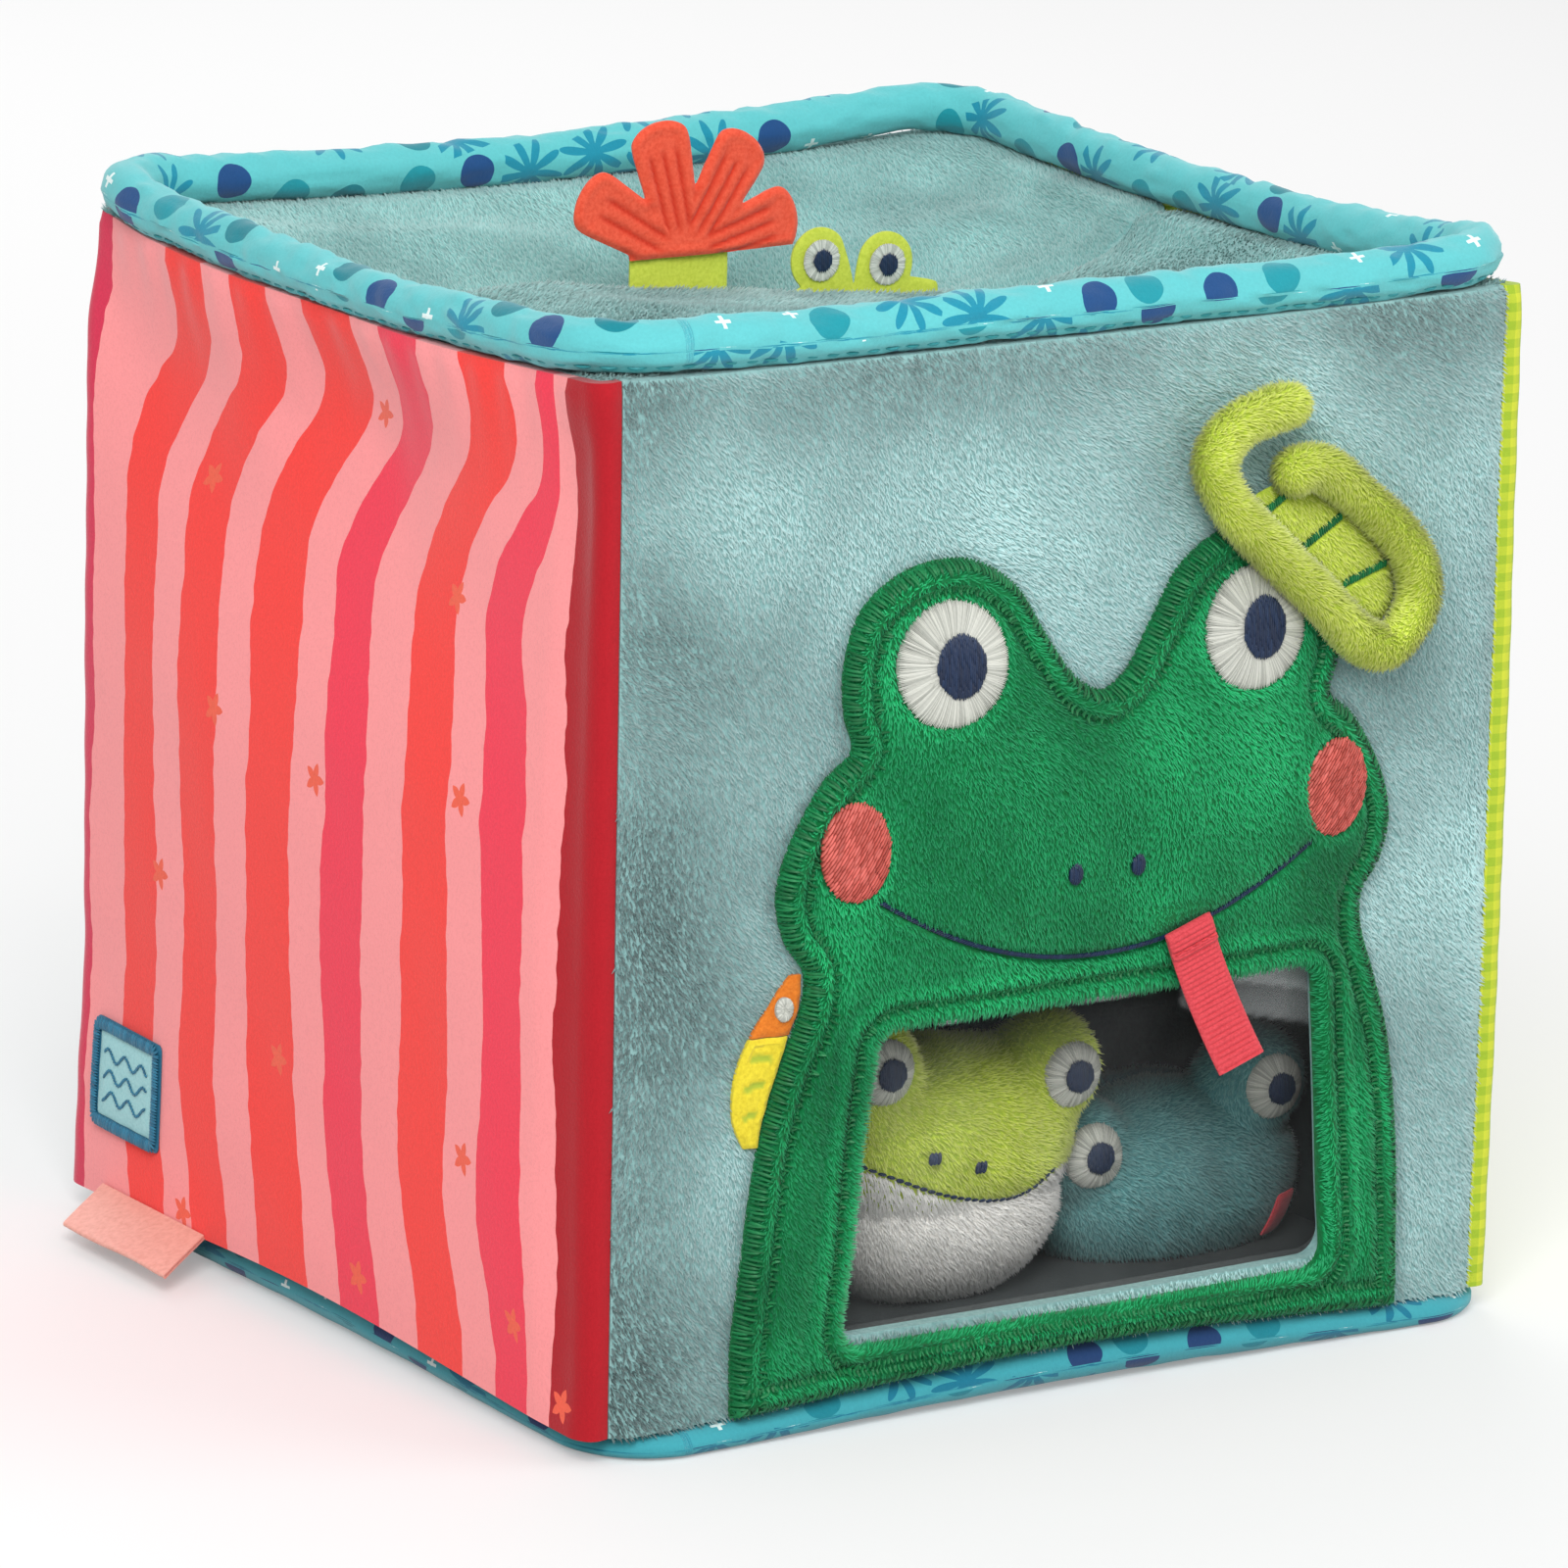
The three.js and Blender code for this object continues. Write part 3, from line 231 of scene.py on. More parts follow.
# Smooth curve through points, the centripetal kind that the solids use
def smoothLine(spots, perSpan, closed=False):
    spots = np.asarray(spots, float)
    if closed:
        row = np.concatenate([spots[-1:], spots, spots[:2]])
    else:
        row = np.concatenate([[2 * spots[0] - spots[1]], spots, [2 * spots[-1] - spots[-2]]])
    t = np.linspace(0, 1, perSpan, endpoint=False)[:, None]
    out = []
    for a, b, c, d in zip(row[:-3], row[1:-2], row[2:-1], row[3:]):
        runs = [max(np.linalg.norm(q - p) ** 0.5, 1e-4) for p, q in ((a, b), (b, c), (c, d))]
        slopeB = (b - a) / runs[0] - (c - a) / (runs[0] + runs[1]) + (c - b) / runs[1]
        slopeC = (c - b) / runs[1] - (d - b) / (runs[1] + runs[2]) + (d - c) / runs[2]
        slopeB, slopeC = slopeB * runs[1], slopeC * runs[1]
        cubic = 2 * b - 2 * c + slopeB + slopeC
        square = -3 * b + 3 * c - 2 * slopeB - slopeC
        out.append(b + slopeB * t + square * t ** 2 + cubic * t ** 3)
    if not closed:
        out.append(spots[-1:])
    return np.concatenate(out)


# Points every `spacing` along a line
def evenly(line, spacing, closed=False):
    line = np.asarray(line, float)
    if closed:
        line = np.concatenate([line, line[:1]])
    run = np.concatenate([[0], np.cumsum(np.linalg.norm(np.diff(line, axis=0), axis=1))])
    count = max(3, int(round(run[-1] / spacing)))
    marks = np.linspace(0, run[-1], count + 1)
    if closed:
        marks = marks[:-1]
    return np.stack([np.interp(marks, run, line[:, k]) for k in range(line.shape[1])], -1)


def ellipse(x, z, halfX, halfZ, count=72):
    angle = np.linspace(0, 2 * math.pi, count, endpoint=False)
    return np.stack([x + halfX * np.cos(angle), z + halfZ * np.sin(angle)], -1)


def roundedBox(low, high, radius, count=6):
    corners = [(high[0], high[1], 0), (low[0], high[1], 1), (low[0], low[1], 2), (high[0], low[1], 3)]
    out = []
    for x, z, quarter in corners:
        inX = x - radius if quarter in (0, 3) else x + radius
        inZ = z - radius if quarter in (0, 1) else z + radius
        for k in range(count + 1):
            angle = (quarter + k / count) * math.pi / 2
            out.append((inX + radius * math.cos(angle), inZ + radius * math.sin(angle)))
    return np.array(out)


def inside(points, ring):
    result = np.zeros(len(points), bool)
    x0, y0 = ring[:, 0], ring[:, 1]
    x1, y1 = np.roll(x0, -1), np.roll(y0, -1)
    for start in range(0, len(points), 4000):
        px = points[start:start + 4000, 0:1]
        py = points[start:start + 4000, 1:2]
        spans = (y0 > py) != (y1 > py)
        rise = np.where(y1 == y0, 1e-9, y1 - y0)
        hit = spans & (px < (x1 - x0) * (py - y0) / rise + x0)
        result[start:start + 4000] = hit.sum(1) % 2 == 1
    return result


# Distance to a ring or an open line, and the direction away from its nearest point
def distanceTo(points, line, closed=True):
    a = line if closed else line[:-1]
    b = np.roll(line, -1, 0) if closed else line[1:]
    run = b - a
    size = np.maximum((run ** 2).sum(1), 1e-9)
    near = np.zeros(len(points))
    away = np.zeros((len(points), 2))
    for start in range(0, len(points), 3000):
        p = points[start:start + 3000, None, :]
        t = np.clip(((p - a) * run).sum(2) / size, 0, 1)
        gap = p - (a + t[..., None] * run)
        far = (gap ** 2).sum(2)
        pick = far.argmin(1)
        rows = np.arange(len(pick))
        near[start:start + 3000] = np.sqrt(far[rows, pick])
        away[start:start + 3000] = gap[rows, pick]
    return near, away / np.maximum(near, 1e-6)[:, None]


# Triangles that fill an outline, with its holes left open
def fillOutline(ring, spacing, holes=()):
    rings = [ring, *holes]
    low = ring.min(0)
    high = ring.max(0)
    columns = np.arange(low[0], high[0], spacing)
    rows = np.arange(low[1], high[1], spacing * 0.87)
    x, z = np.meshgrid(columns, rows)
    x = x + (np.arange(len(rows)) % 2)[:, None] * spacing / 2
    grid = np.stack([x.ravel(), z.ravel()], -1)
    grid = grid[inside(grid, ring)]
    for hole in holes:
        grid = grid[~inside(grid, hole)]
    for line in rings:
        grid = grid[distanceTo(grid, line)[0] > 0.55 * spacing]
    points = list(map(Vector, np.concatenate([*rings, grid])))
    edges = []
    start = 0
    for line in rings:
        count = len(line)
        edges += [(start + k, start + (k + 1) % count) for k in range(count)]
        start += count
    found = geometry.delaunay_2d_cdt(points, edges, [], 0, 1e-4, False)
    flat = np.array([tuple(p) for p in found[0]])
    faces = np.array(found[2])
    ahead = flat[faces[:, 1]] - flat[faces[:, 0]]
    later = flat[faces[:, 2]] - flat[faces[:, 0]]
    turned = ahead[:, 0] * later[:, 1] < ahead[:, 1] * later[:, 0]
    faces[turned] = faces[turned][:, ::-1]
    middle = flat[faces].mean(1)
    keep = inside(middle, ring)
    for hole in holes:
        keep &= ~inside(middle, hole)
    return flat, faces[keep]


# Closes a top and a bottom face with a wall along every open edge
def closeSheet(top, bottom, faces):
    count = len(top)
    width = faces.shape[1]
    ends = np.concatenate([faces[:, [k, (k + 1) % width]] for k in range(width)])
    forward = ends[:, 0] * count + ends[:, 1]
    backward = ends[:, 1] * count + ends[:, 0]
    rim = ends[~np.isin(forward, backward)]
    walls = np.stack([rim[:, 1], rim[:, 0], rim[:, 0] + count, rim[:, 1] + count], -1)
    return np.concatenate([top, bottom]), [faces, faces[:, ::-1] + count, walls]


def gridFaces(rows, columns, closedRows=False, closedColumns=False):
    r = np.arange(rows if closedRows else rows - 1)
    c = np.arange(columns if closedColumns else columns - 1)
    r, c = np.meshgrid(r, c, indexing="ij")
    nextR = (r + 1) % rows
    nextC = (c + 1) % columns
    at = [r * columns + c, r * columns + nextC, nextR * columns + nextC, nextR * columns + c]
    return np.stack([a.ravel() for a in at], -1)


def asTriangles(groups):
    return np.concatenate([group[:, [0, k, k + 1]] for group in groups for k in range(1, group.shape[1] - 1)])


def vertexNormals(points, triangles):
    a, b, c = (points[triangles[:, k]] for k in range(3))
    cross = np.cross(b - a, c - a)
    normals = np.zeros_like(points)
    for k in range(3):
        np.add.at(normals, triangles[:, k], cross)
    return normals / np.maximum(np.linalg.norm(normals, axis=1), 1e-12)[:, None]


# A tube along a path, round or with a relief on its radius
def sweepTube(path, radius, count, closed, upright, heights=None):
    path = np.asarray(path, float)
    if closed:
        ahead = np.roll(path, -1, 0) - np.roll(path, 1, 0)
    else:
        ahead = np.gradient(path, axis=0)
    ahead = unit(ahead)
    across = unit(np.cross(ahead, upright))
    upward = np.cross(across, ahead)
    radius = np.broadcast_to(np.asarray(radius, float).reshape(len(path), -1), (len(path), count))
    tall = radius if heights is None else np.broadcast_to(heights.reshape(len(path), -1), (len(path), count))
    angle = fullTurn(count)
    points = path[:, None] + across[:, None] * (radius * np.cos(angle))[..., None]
    points = points + upward[:, None] * (tall * np.sin(angle))[..., None]
    faces = [gridFaces(len(path), count, closed, True)[:, ::-1]]
    if not closed:
        faces.append(np.arange(count)[None])
        faces.append((np.arange(count) + (len(path) - 1) * count)[::-1][None])
    return points.reshape(-1, 3), faces


# A piece is named after the node that it replaces, unless `node` names another or none
def makePiece(name, points, groups, finish, body="block", uv=None, node=None, normals=None, sharp=50):
    mesh = bpy.data.meshes.new(name)
    mesh.vertices.add(len(points))
    mesh.vertices.foreach_set("co", (np.asarray(points, float) * mm).astype(np.float32).ravel())
    corners = np.concatenate([g.ravel() for g in groups]).astype(np.int32)
    lengths = np.concatenate([np.full(len(g), g.shape[1]) for g in groups])
    starts = np.concatenate([[0], np.cumsum(lengths)[:-1]]).astype(np.int32)
    mesh.loops.add(len(corners))
    mesh.loops.foreach_set("vertex_index", corners)
    mesh.polygons.add(len(starts))
    mesh.polygons.foreach_set("loop_start", starts)
    mesh.polygons.foreach_set("use_smooth", np.ones(len(starts), bool))
    mesh.update(calc_edges=True)
    layer = mesh.uv_layers.new(name="cloth")
    layer.data.foreach_set("uv", np.asarray(uv, np.float32)[corners].ravel())
    if normals is not None:
        mesh.normals_split_custom_set_from_vertices(normals.tolist())
    else:
        mesh.set_sharp_from_angle(angle=math.radians(sharp))
    mesh.materials.append(finishes[finish])
    piece = bpy.data.objects.new(name, mesh)
    bpy.context.scene.collection.objects.link(piece)
    if node is None:
        node = name.rpartition("_")[0]
    if node:
        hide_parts(node)
    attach(piece, body)
    return piece


# A sheet of cloth, with the same map on both of its faces
def makeSheet(name, top, bottom, faces, flat, finish, body="block", node=None):
    points, groups = closeSheet(top, bottom, faces)
    return makePiece(name, points, groups, finish, body, np.tile(flat, (2, 1)), node)


# Pile: short closed tufts that lean along the nap. `look` gives each root its own tone, with painted
# shade and light in it, and lean, and drops the roots where nothing grows.
def growPile(name, points, groups, finish, body, pile, look=None, seed=1):
    triangles = asTriangles(groups)
    rng = np.random.default_rng(seed)
    a, b, c = (points[triangles[:, k]] for k in range(3))
    area = np.linalg.norm(np.cross(b - a, c - a), axis=1) / 2
    total = area.sum()
    count = int(total * pile["perArea"])
    marks = (np.arange(count) + rng.random(count)) / count * total
    pick = np.minimum(np.searchsorted(np.cumsum(area), marks), len(area) - 1)
    u, v = rng.random((2, count))
    fold = u + v > 1
    u[fold], v[fold] = 1 - u[fold], 1 - v[fold]
    share = np.stack([1 - u - v, u, v], -1)[..., None]
    corners = triangles[pick]
    roots = (points[corners] * share).sum(1)
    normals = (vertexNormals(points, triangles)[corners] * share).sum(1)
    normals /= np.maximum(np.linalg.norm(normals, axis=1), 1e-9)[:, None]
    x, y, z = roots.T
    swirl = pile["swirl"] * softNoise(x + y, z - y, pile["swirlSize"], seed + 5)
    nap = np.tile(np.array(pile["nap"], float), (count, 1)) + 0.25 * rng.normal(size=(count, 3))
    tone = 0.5 + 0.5 * rng.uniform(-1, 1, count)
    length = pile["length"] * rng.uniform(0.7, 1.25, count)
    keep = np.ones(count, bool)
    if look:
        keep, tone, nap, length = look(roots, normals, tone, nap, length)
    roots, normals, tone, nap, length, swirl = (
        item[keep] for item in (roots, normals, tone, nap, length, swirl))
    nap -= (nap * normals).sum(1)[:, None] * normals
    nap /= np.maximum(np.linalg.norm(nap, axis=1), 1e-6)[:, None]
    side = np.cross(normals, nap)
    turned = nap * np.cos(swirl)[:, None] + side * np.sin(swirl)[:, None]
    side = np.cross(normals, turned)
    lean = pile["lean"] + 0.18 * rng.normal(size=len(roots))
    tip = roots + length[:, None] * (normals * np.cos(lean)[:, None] + turned * np.sin(lean)[:, None])
    half = pile["width"] / 2
    low = roots - 0.25 * normals
    heel = low - 0.7 * half * turned + half * normals
    verts = np.stack([low + half * side, low - half * side, heel, tip], 1)
    soft = np.stack([normals + 0.35 * side, normals - 0.35 * side, normals - 0.35 * turned,
                     normals + 0.25 * turned], 1)
    soft /= np.linalg.norm(soft, axis=2)[..., None]
    start = np.arange(len(roots))[:, None, None] * 4
    tufts = (start + np.array([[0, 2, 3], [2, 1, 3], [1, 0, 3], [0, 1, 2]])).reshape(-1, 3)
    # UV x is the tuft's tone; UV y runs from root to tip, where the finish paints shade and light
    uv = np.stack([np.repeat(tone, 4), np.tile([0.0, 0.0, 0.25, 1.0], len(roots))], -1)
    return makePiece(name, verts.reshape(-1, 3), [tufts], finish, body, uv, "", soft.reshape(-1, 3))


# Threads: flat-bellied strands laid on a surface from start to end
def layThreads(surface, starts, ends, thread, seed=3, steps=7, count=6):
    starts = np.asarray(starts, float)
    ends = np.asarray(ends, float)
    rng = np.random.default_rng(seed)
    t = np.linspace(0, 1, steps)[None, :, None]
    run = ends - starts
    length = np.maximum(np.linalg.norm(run, axis=1), 1e-6)[:, None]
    across = np.stack([-run[:, 1], run[:, 0]], -1) / length
    middle = starts[:, None] + run[:, None] * t
    taper = np.maximum(np.sqrt(np.maximum(0, 1 - np.abs(2 * t - 1) ** 3)), 0.3)
    angle = fullTurn(count)[None, None]
    width = thread["width"] * rng.uniform(0.85, 1.15, (len(starts), 1, 1)) / 2
    aside = (width * taper * np.cos(angle))[..., None] * across[:, None, None]
    flat = middle[:, :, None] + aside
    tall = thread["height"] / 2
    lift = thread["lift"] + tall + thread.get("arch", 0) * np.sin(math.pi * t) + tall * taper * np.sin(angle)
    lift = lift + rng.uniform(0, 0.4 * tall, (len(starts), 1, 1))
    shape = flat.shape[:3]
    points = surface(flat[..., 0].ravel(), flat[..., 1].ravel(), np.broadcast_to(lift, shape).ravel())
    strand = gridFaces(steps, count, False, True)
    caps = np.stack([np.arange(count)[::-1], np.arange(count) + (steps - 1) * count])
    base = np.arange(len(starts))[:, None, None] * steps * count
    uv = np.stack([np.broadcast_to(rng.random((len(starts), 1, 1)), shape).ravel(),
                   np.broadcast_to(t * length[:, None], shape).ravel()], -1)
    return points, [(base + strand).reshape(-1, 4), (base + caps).reshape(-1, count)], uv


def joinParts(*parts):
    points, groups, uvs = [], [], []
    start = 0
    for verts, faces, uv in parts:
        points.append(verts)
        uvs.append(uv)
        groups += [g + start for g in faces]
        start += len(verts)
    return np.concatenate(points), groups, np.concatenate(uvs)


# Finishes
def tint(hexValue):
    channels = [int(hexValue[k:k + 2], 16) / 255 for k in (1, 3, 5)]
    linear = [c / 12.92 if c <= 0.04045 else ((c + 0.055) / 1.055) ** 2.4 for c in channels]
    return (*linear, 1.0)


# Colours at their places along a ramp, blended or in steps
def paintRamp(ramp, stops, stepped):
    ramp.interpolation = "CONSTANT" if stepped else "LINEAR"
    ramp.elements.remove(ramp.elements[1])
    ramp.elements[0].position = stops[0][0]
    ramp.elements[0].color = tint(stops[0][1])
    for place, hexValue in stops[1:]:
        ramp.elements.new(place).color = tint(hexValue)


# A link comes from a socket, or from the first output of a node
def addNode(tree, kind, settings=None, links=None):
    node = tree.nodes.new("ShaderNode" + kind)
    for key, value in (settings or {}).items():
        if key in ("stops", "steps"):
            paintRamp(node.color_ramp, value, key == "steps")
        elif isinstance(key, str) and hasattr(node, key):
            setattr(node, key, value)
        else:
            node.inputs[key].default_value = value
    for key, source in (links or {}).items():
        tree.links.new(getattr(source, "outputs", [source])[0], node.inputs[key])
    return node


def newMaterial(name):
    material = bpy.data.materials.new(name)
    material.use_nodes = True
    tree = material.node_tree
    tree.nodes.clear()
    place = addNode(tree, "TexCoord").outputs["Object"]
    return material, tree, addNode(tree, "VectorMath", {"operation": "SCALE", "Scale": 1000.0}, {0: place})


def closeMaterial(material, roughness, specular, sheen, sheenRoughness, links):
    shader = addNode(material.node_tree, "BsdfPrincipled", {
        "Roughness": roughness, "Specular IOR Level": specular, "Sheen Weight": sheen,
        "Sheen Roughness": sheenRoughness}, links)
    addNode(material.node_tree, "OutputMaterial", None, {"Surface": shader})
    return material


# The map that each piece carries: millimetres of cloth, or a tone and a depth
def clothMap(tree):
    cloth = addNode(tree, "UVMap", {"uv_map": "cloth"})
    return cloth, addNode(tree, "SeparateXYZ", None, {0: cloth}).outputs


# A noise as fine relief, for the eye to read as knit, weave or felt
def grainAndBump(tree, inMm, noise, strength, distance):
    grain = addNode(tree, "TexNoise", noise, {"Vector": inMm})
    return grain, addNode(tree, "Bump", {"Strength": strength, "Distance": distance}, {"Height": grain})


# Print on brushed cloth: the grain also shows in its colour
def speckled(tree, inMm, colour, scale, low, high, strength):
    noise = {"Scale": scale, "Detail": 3.0, "Roughness": 0.7}
    grain, bump = grainAndBump(tree, inMm, noise, strength, 0.0003)
    speck = addNode(tree, "MapRange", {1: 0.3, 2: 0.7, 3: low, 4: high}, {0: grain})
    shaded = addNode(tree, "VectorMath", {"operation": "SCALE"}, {0: colour, "Scale": speck})
    return {"Base Color": shaded, "Normal": bump}


# Cells of a print, one motif in each: where a spot lies from its motif, and at what angle
def motifCells(tree, place, size, scatter):
    inCells = addNode(tree, "VectorMath", {"operation": "SCALE", "Scale": 1 / size}, {0: place})
    cells = addNode(tree, "TexVoronoi", {"Scale": 1.0, "Randomness": scatter, "voronoi_dimensions": "2D"},
                    {"Vector": inCells})
    offset = addNode(tree, "VectorMath", {"operation": "SUBTRACT"},
                     {0: inCells, 1: cells.outputs["Position"]})
    spot = addNode(tree, "SeparateXYZ", None, {0: offset}).outputs
    return cells, offset, addNode(tree, "Math", {"operation": "ARCTAN2"}, {0: spot["Y"], 1: spot["X"]})


# Minky plush: short polyester pile, brushed one way. The ramp paints shade on the roots and light on the
# tips,
# and patches are painted paler or darker: painted sheen of nap that was stroked another way.
def minkyPile(name, rootHex, bodyHex, tipHex, patchSize, patchShare, fibreShare=0.24):
    material, tree, inMm = newMaterial(name)
    fibre = clothMap(tree)[1]
    ramp = addNode(tree, "ValToRGB", {"stops": [(0, rootHex), (0.45, bodyHex), (1, tipHex)]}, {0: fibre["Y"]})
    patches = addNode(tree, "TexNoise", {"Scale": 1 / patchSize, "Detail": 2.0}, {"Vector": inMm})
    half = fibreShare / 2
    fine = addNode(tree, "MapRange", {"clamp": False, 3: 1 - half, 4: 1 + half}, {0: fibre["X"]})
    half = patchShare / 2
    wide = addNode(tree, "MapRange", {1: 0.3, 2: 0.7, 3: 1 - half, 4: 1 + half}, {0: patches})
    both = addNode(tree, "Math", {"operation": "MULTIPLY"}, {0: fine, 1: wide})
    shaded = addNode(tree, "VectorMath", {"operation": "SCALE"}, {0: ramp, "Scale": both})
    return closeMaterial(material, 0.85, 0.25, 0.25, 0.45, {"Base Color": shaded})


# Knitted backing under the pile, in the shade of the tufts
def minkyBacking(name, bodyHex, darkHex):
    material, tree, inMm = newMaterial(name)
    cloud, bump = grainAndBump(tree, inMm, {"Scale": 0.9, "Detail": 4.0, "Roughness": 0.7}, 0.5, 0.0004)
    ramp = addNode(tree, "ValToRGB", {"stops": [(0.35, darkHex), (0.65, bodyHex)]}, {0: cloud})
    return closeMaterial(material, 0.95, 0.15, 0.2, 0.5, {"Base Color": ramp, "Normal": bump})


# Brushed cotton jersey with printed stripes. Their places are millimetres across the cloth,
# and their edges wobble as if drawn by hand.
def stripedJersey(name, ground, bands, stars, starHex):
    material, tree, inMm = newMaterial(name)
    cloth, spot = clothMap(tree)
    across = spot["X"]
    for scale, reach in ((0.02, 1.9), (0.17, 0.45)):
        drift = addNode(tree, "TexNoise", {"Scale": scale, "Detail": 1.0}, {"Vector": cloth})
        wobble = addNode(tree, "MapRange", {1: 0.25, 2: 0.75, 3: -reach, 4: reach}, {0: drift})
        across = addNode(tree, "Math", {"operation": "ADD"}, {0: across, 1: wobble})
    share = addNode(tree, "MapRange", {1: -130.0, 2: 130.0, 3: 0.0, 4: 1.0}, {0: across})
    stops = [(0, ground)]
    for start, end, hexValue in bands:
        stops += [((start + 130) / 260, hexValue), ((end + 130) / 260, ground)]
    ramp = addNode(tree, "ValToRGB", {"steps": stops}, {0: share})
    # Small five-pointed stars, far apart
    moved = addNode(tree, "VectorMath", {"operation": "ADD", 1: (stars["shift"], 7.0, 0.0)}, {0: cloth})
    cells, _, angle = motifCells(tree, moved, stars["pitch"], 0.7)
    tips = addNode(tree, "Math", {"operation": "PINGPONG", 1: math.pi / 5}, {0: angle})
    radius = stars["radius"] / stars["pitch"]
    point = addNode(tree, "MapRange", {1: 0.0, 2: math.pi / 5, 3: radius, 4: 0.42 * radius}, {0: tips})
    within = addNode(tree, "Math", {"operation": "LESS_THAN"}, {0: cells, 1: point})
    printed = addNode(tree, "Mix", {"data_type": "RGBA", 7: tint(starHex)}, {0: within, 6: ramp})
    links = speckled(tree, inMm, printed.outputs[2], 1.7, 0.93, 1.06, 0.35)
    return closeMaterial(material, 0.9, 0.2, 0.3, 0.4, links)


# Woven cotton check, threads drawn in bands of a few millimetres
def wovenCheck(name, ground, band, pitch):
    material, tree, inMm = newMaterial(name)
    spot = clothMap(tree)[1]
    layers = []
    for axis in "XY":
        wave = addNode(tree, "Math", {"operation": "PINGPONG", 1: pitch / 2}, {0: spot[axis]})
        layers.append(addNode(tree, "Math", {"operation": "GREATER_THAN", 1: pitch / 4}, {0: wave}))
    amount = addNode(tree, "Math", {"operation": "ADD"}, dict(enumerate(layers)))
    share = addNode(tree, "Math", {"operation": "MULTIPLY", 1: 0.5}, {0: amount})
    mixed = addNode(tree, "Mix", {"data_type": "RGBA", 6: tint(ground), 7: tint(band)}, {0: share})
    bump = grainAndBump(tree, inMm, {"Scale": 2.0, "Detail": 2.0}, 0.4, 0.0003)[1]
    return closeMaterial(material, 0.85, 0.25, 0.15, 0.4, {"Base Color": mixed.outputs[2], "Normal": bump})


# Printed cotton poplin: one motif in each cell of the cloth, a round dot, a many-leaved
# sprig or a small plus
def printedCotton(name, ground, dots, sprig, plus, cell):
    material, tree, inMm = newMaterial(name)
    cells, offset, angle = motifCells(tree, addNode(tree, "UVMap", {"uv_map": "cloth"}), cell, 0.55)
    chance = addNode(tree, "SeparateXYZ", None, {0: cells.outputs["Color"]}).outputs
    aside = addNode(tree, "VectorMath", {"operation": "ABSOLUTE"}, {0: offset})
    arms = addNode(tree, "SeparateXYZ", None, {0: aside}).outputs
    made = {"away": cells, "angle": angle, "kind": chance["X"], "turn": chance["Z"],
            "x": arms["X"], "y": arms["Y"]}
    for label, operation, *terms in (
            ("isDot", "LESS_THAN", "kind", 0.42), ("isPlus", "GREATER_THAN", "kind", 0.72),
            ("inDot", "LESS_THAN", "away", 3.9 / cell), ("dotHere", "MULTIPLY", "inDot", "isDot"),
            ("turned", "MULTIPLY_ADD", "turn", 6.3, "angle"), ("lobes", "MULTIPLY", "turned", 4.5),
            ("wave", "COSINE", "lobes"), ("leaf", "ABSOLUTE", "wave"), ("spike", "POWER", "leaf", 1.7),
            ("reach", "MULTIPLY_ADD", "spike", 6 / cell, 2 / cell),
            ("inLeaf", "LESS_THAN", "away", "reach"), ("neither", "ADD", "isDot", "isPlus"),
            ("isSprig", "SUBTRACT", 1.0, "neither"), ("sprigHere", "MULTIPLY", "inLeaf", "isSprig"),
            ("shorter", "MINIMUM", "x", "y"), ("longer", "MAXIMUM", "x", "y"),
            ("thin", "LESS_THAN", "shorter", 0.4 / cell),
            ("near", "LESS_THAN", "longer", 1.6 / cell), ("cross", "MULTIPLY", "thin", "near"),
            ("plusHere", "MULTIPLY", "cross", "isPlus")):
        settings = {k: term for k, term in enumerate(terms) if not isinstance(term, str)}
        links = {k: made[term] for k, term in enumerate(terms) if isinstance(term, str)}
        made[label] = addNode(tree, "Math", {"operation": operation, **settings}, links)
    dotTone = addNode(tree, "ValToRGB", {"steps": list(zip((0, 0.4, 0.72), dots))}, {0: chance["Y"]})
    printed = addNode(tree, "Mix", {"data_type": "RGBA", 6: tint(ground)}, {0: made["dotHere"], 7: dotTone})
    for here, hexValue in (("sprigHere", sprig), ("plusHere", plus)):
        printed = addNode(tree, "Mix", {"data_type": "RGBA", 7: tint(hexValue)},
                          {0: made[here], 6: printed.outputs[2]})
    links = speckled(tree, inMm, printed.outputs[2], 1.5, 0.95, 1.04, 0.3)
    return closeMaterial(material, 0.88, 0.2, 0.25, 0.5, links)


# Cloth or foam in one dye, with a grain of its own size: felt, webbing, tape, lining
def dyedCloth(name, bodyHex, darkHex, grainSize, bumpDepth, roughness=0.9, sheen=0.3, grooveHex=None):
    material, tree, inMm = newMaterial(name)
    noise = {"Scale": 1 / grainSize, "Detail": 4.0, "Roughness": 0.65}
    grain, bump = grainAndBump(tree, inMm, noise, 0.6, bumpDepth * mm)
    colour = addNode(tree, "ValToRGB", {"stops": [(0.3, darkHex), (0.62, bodyHex)]}, {0: grain})
    if grooveHex:  # UV x says how deep in a groove the felt is
        colour = addNode(tree, "Mix", {"data_type": "RGBA", 7: tint(grooveHex)},
                         {0: clothMap(tree)[1]["X"], 6: colour}).outputs[2]
    return closeMaterial(material, roughness, 0.25, sheen, 0.4, {"Base Color": colour, "Normal": bump})


# Rayon embroidery thread: a soft gleam along each strand, its tone a little its own
def satinThread(name, bodyHex, darkHex):
    material, tree, inMm = newMaterial(name)
    mixed = addNode(tree, "Mix", {"data_type": "RGBA", 6: tint(darkHex), 7: tint(bodyHex)},
                    {0: clothMap(tree)[1]["X"]})
    twist = addNode(tree, "TexWave", {"Scale": 0.45, "bands_direction": "DIAGONAL", "Distortion": 1.0},
                    {"Vector": inMm})
    bump = addNode(tree, "Bump", {"Strength": 0.25, "Distance": 0.0001}, {"Height": twist.outputs["Fac"]})
    return closeMaterial(material, 0.5, 0.4, 0.1, 0.3, {"Base Color": mixed.outputs[2], "Normal": bump})
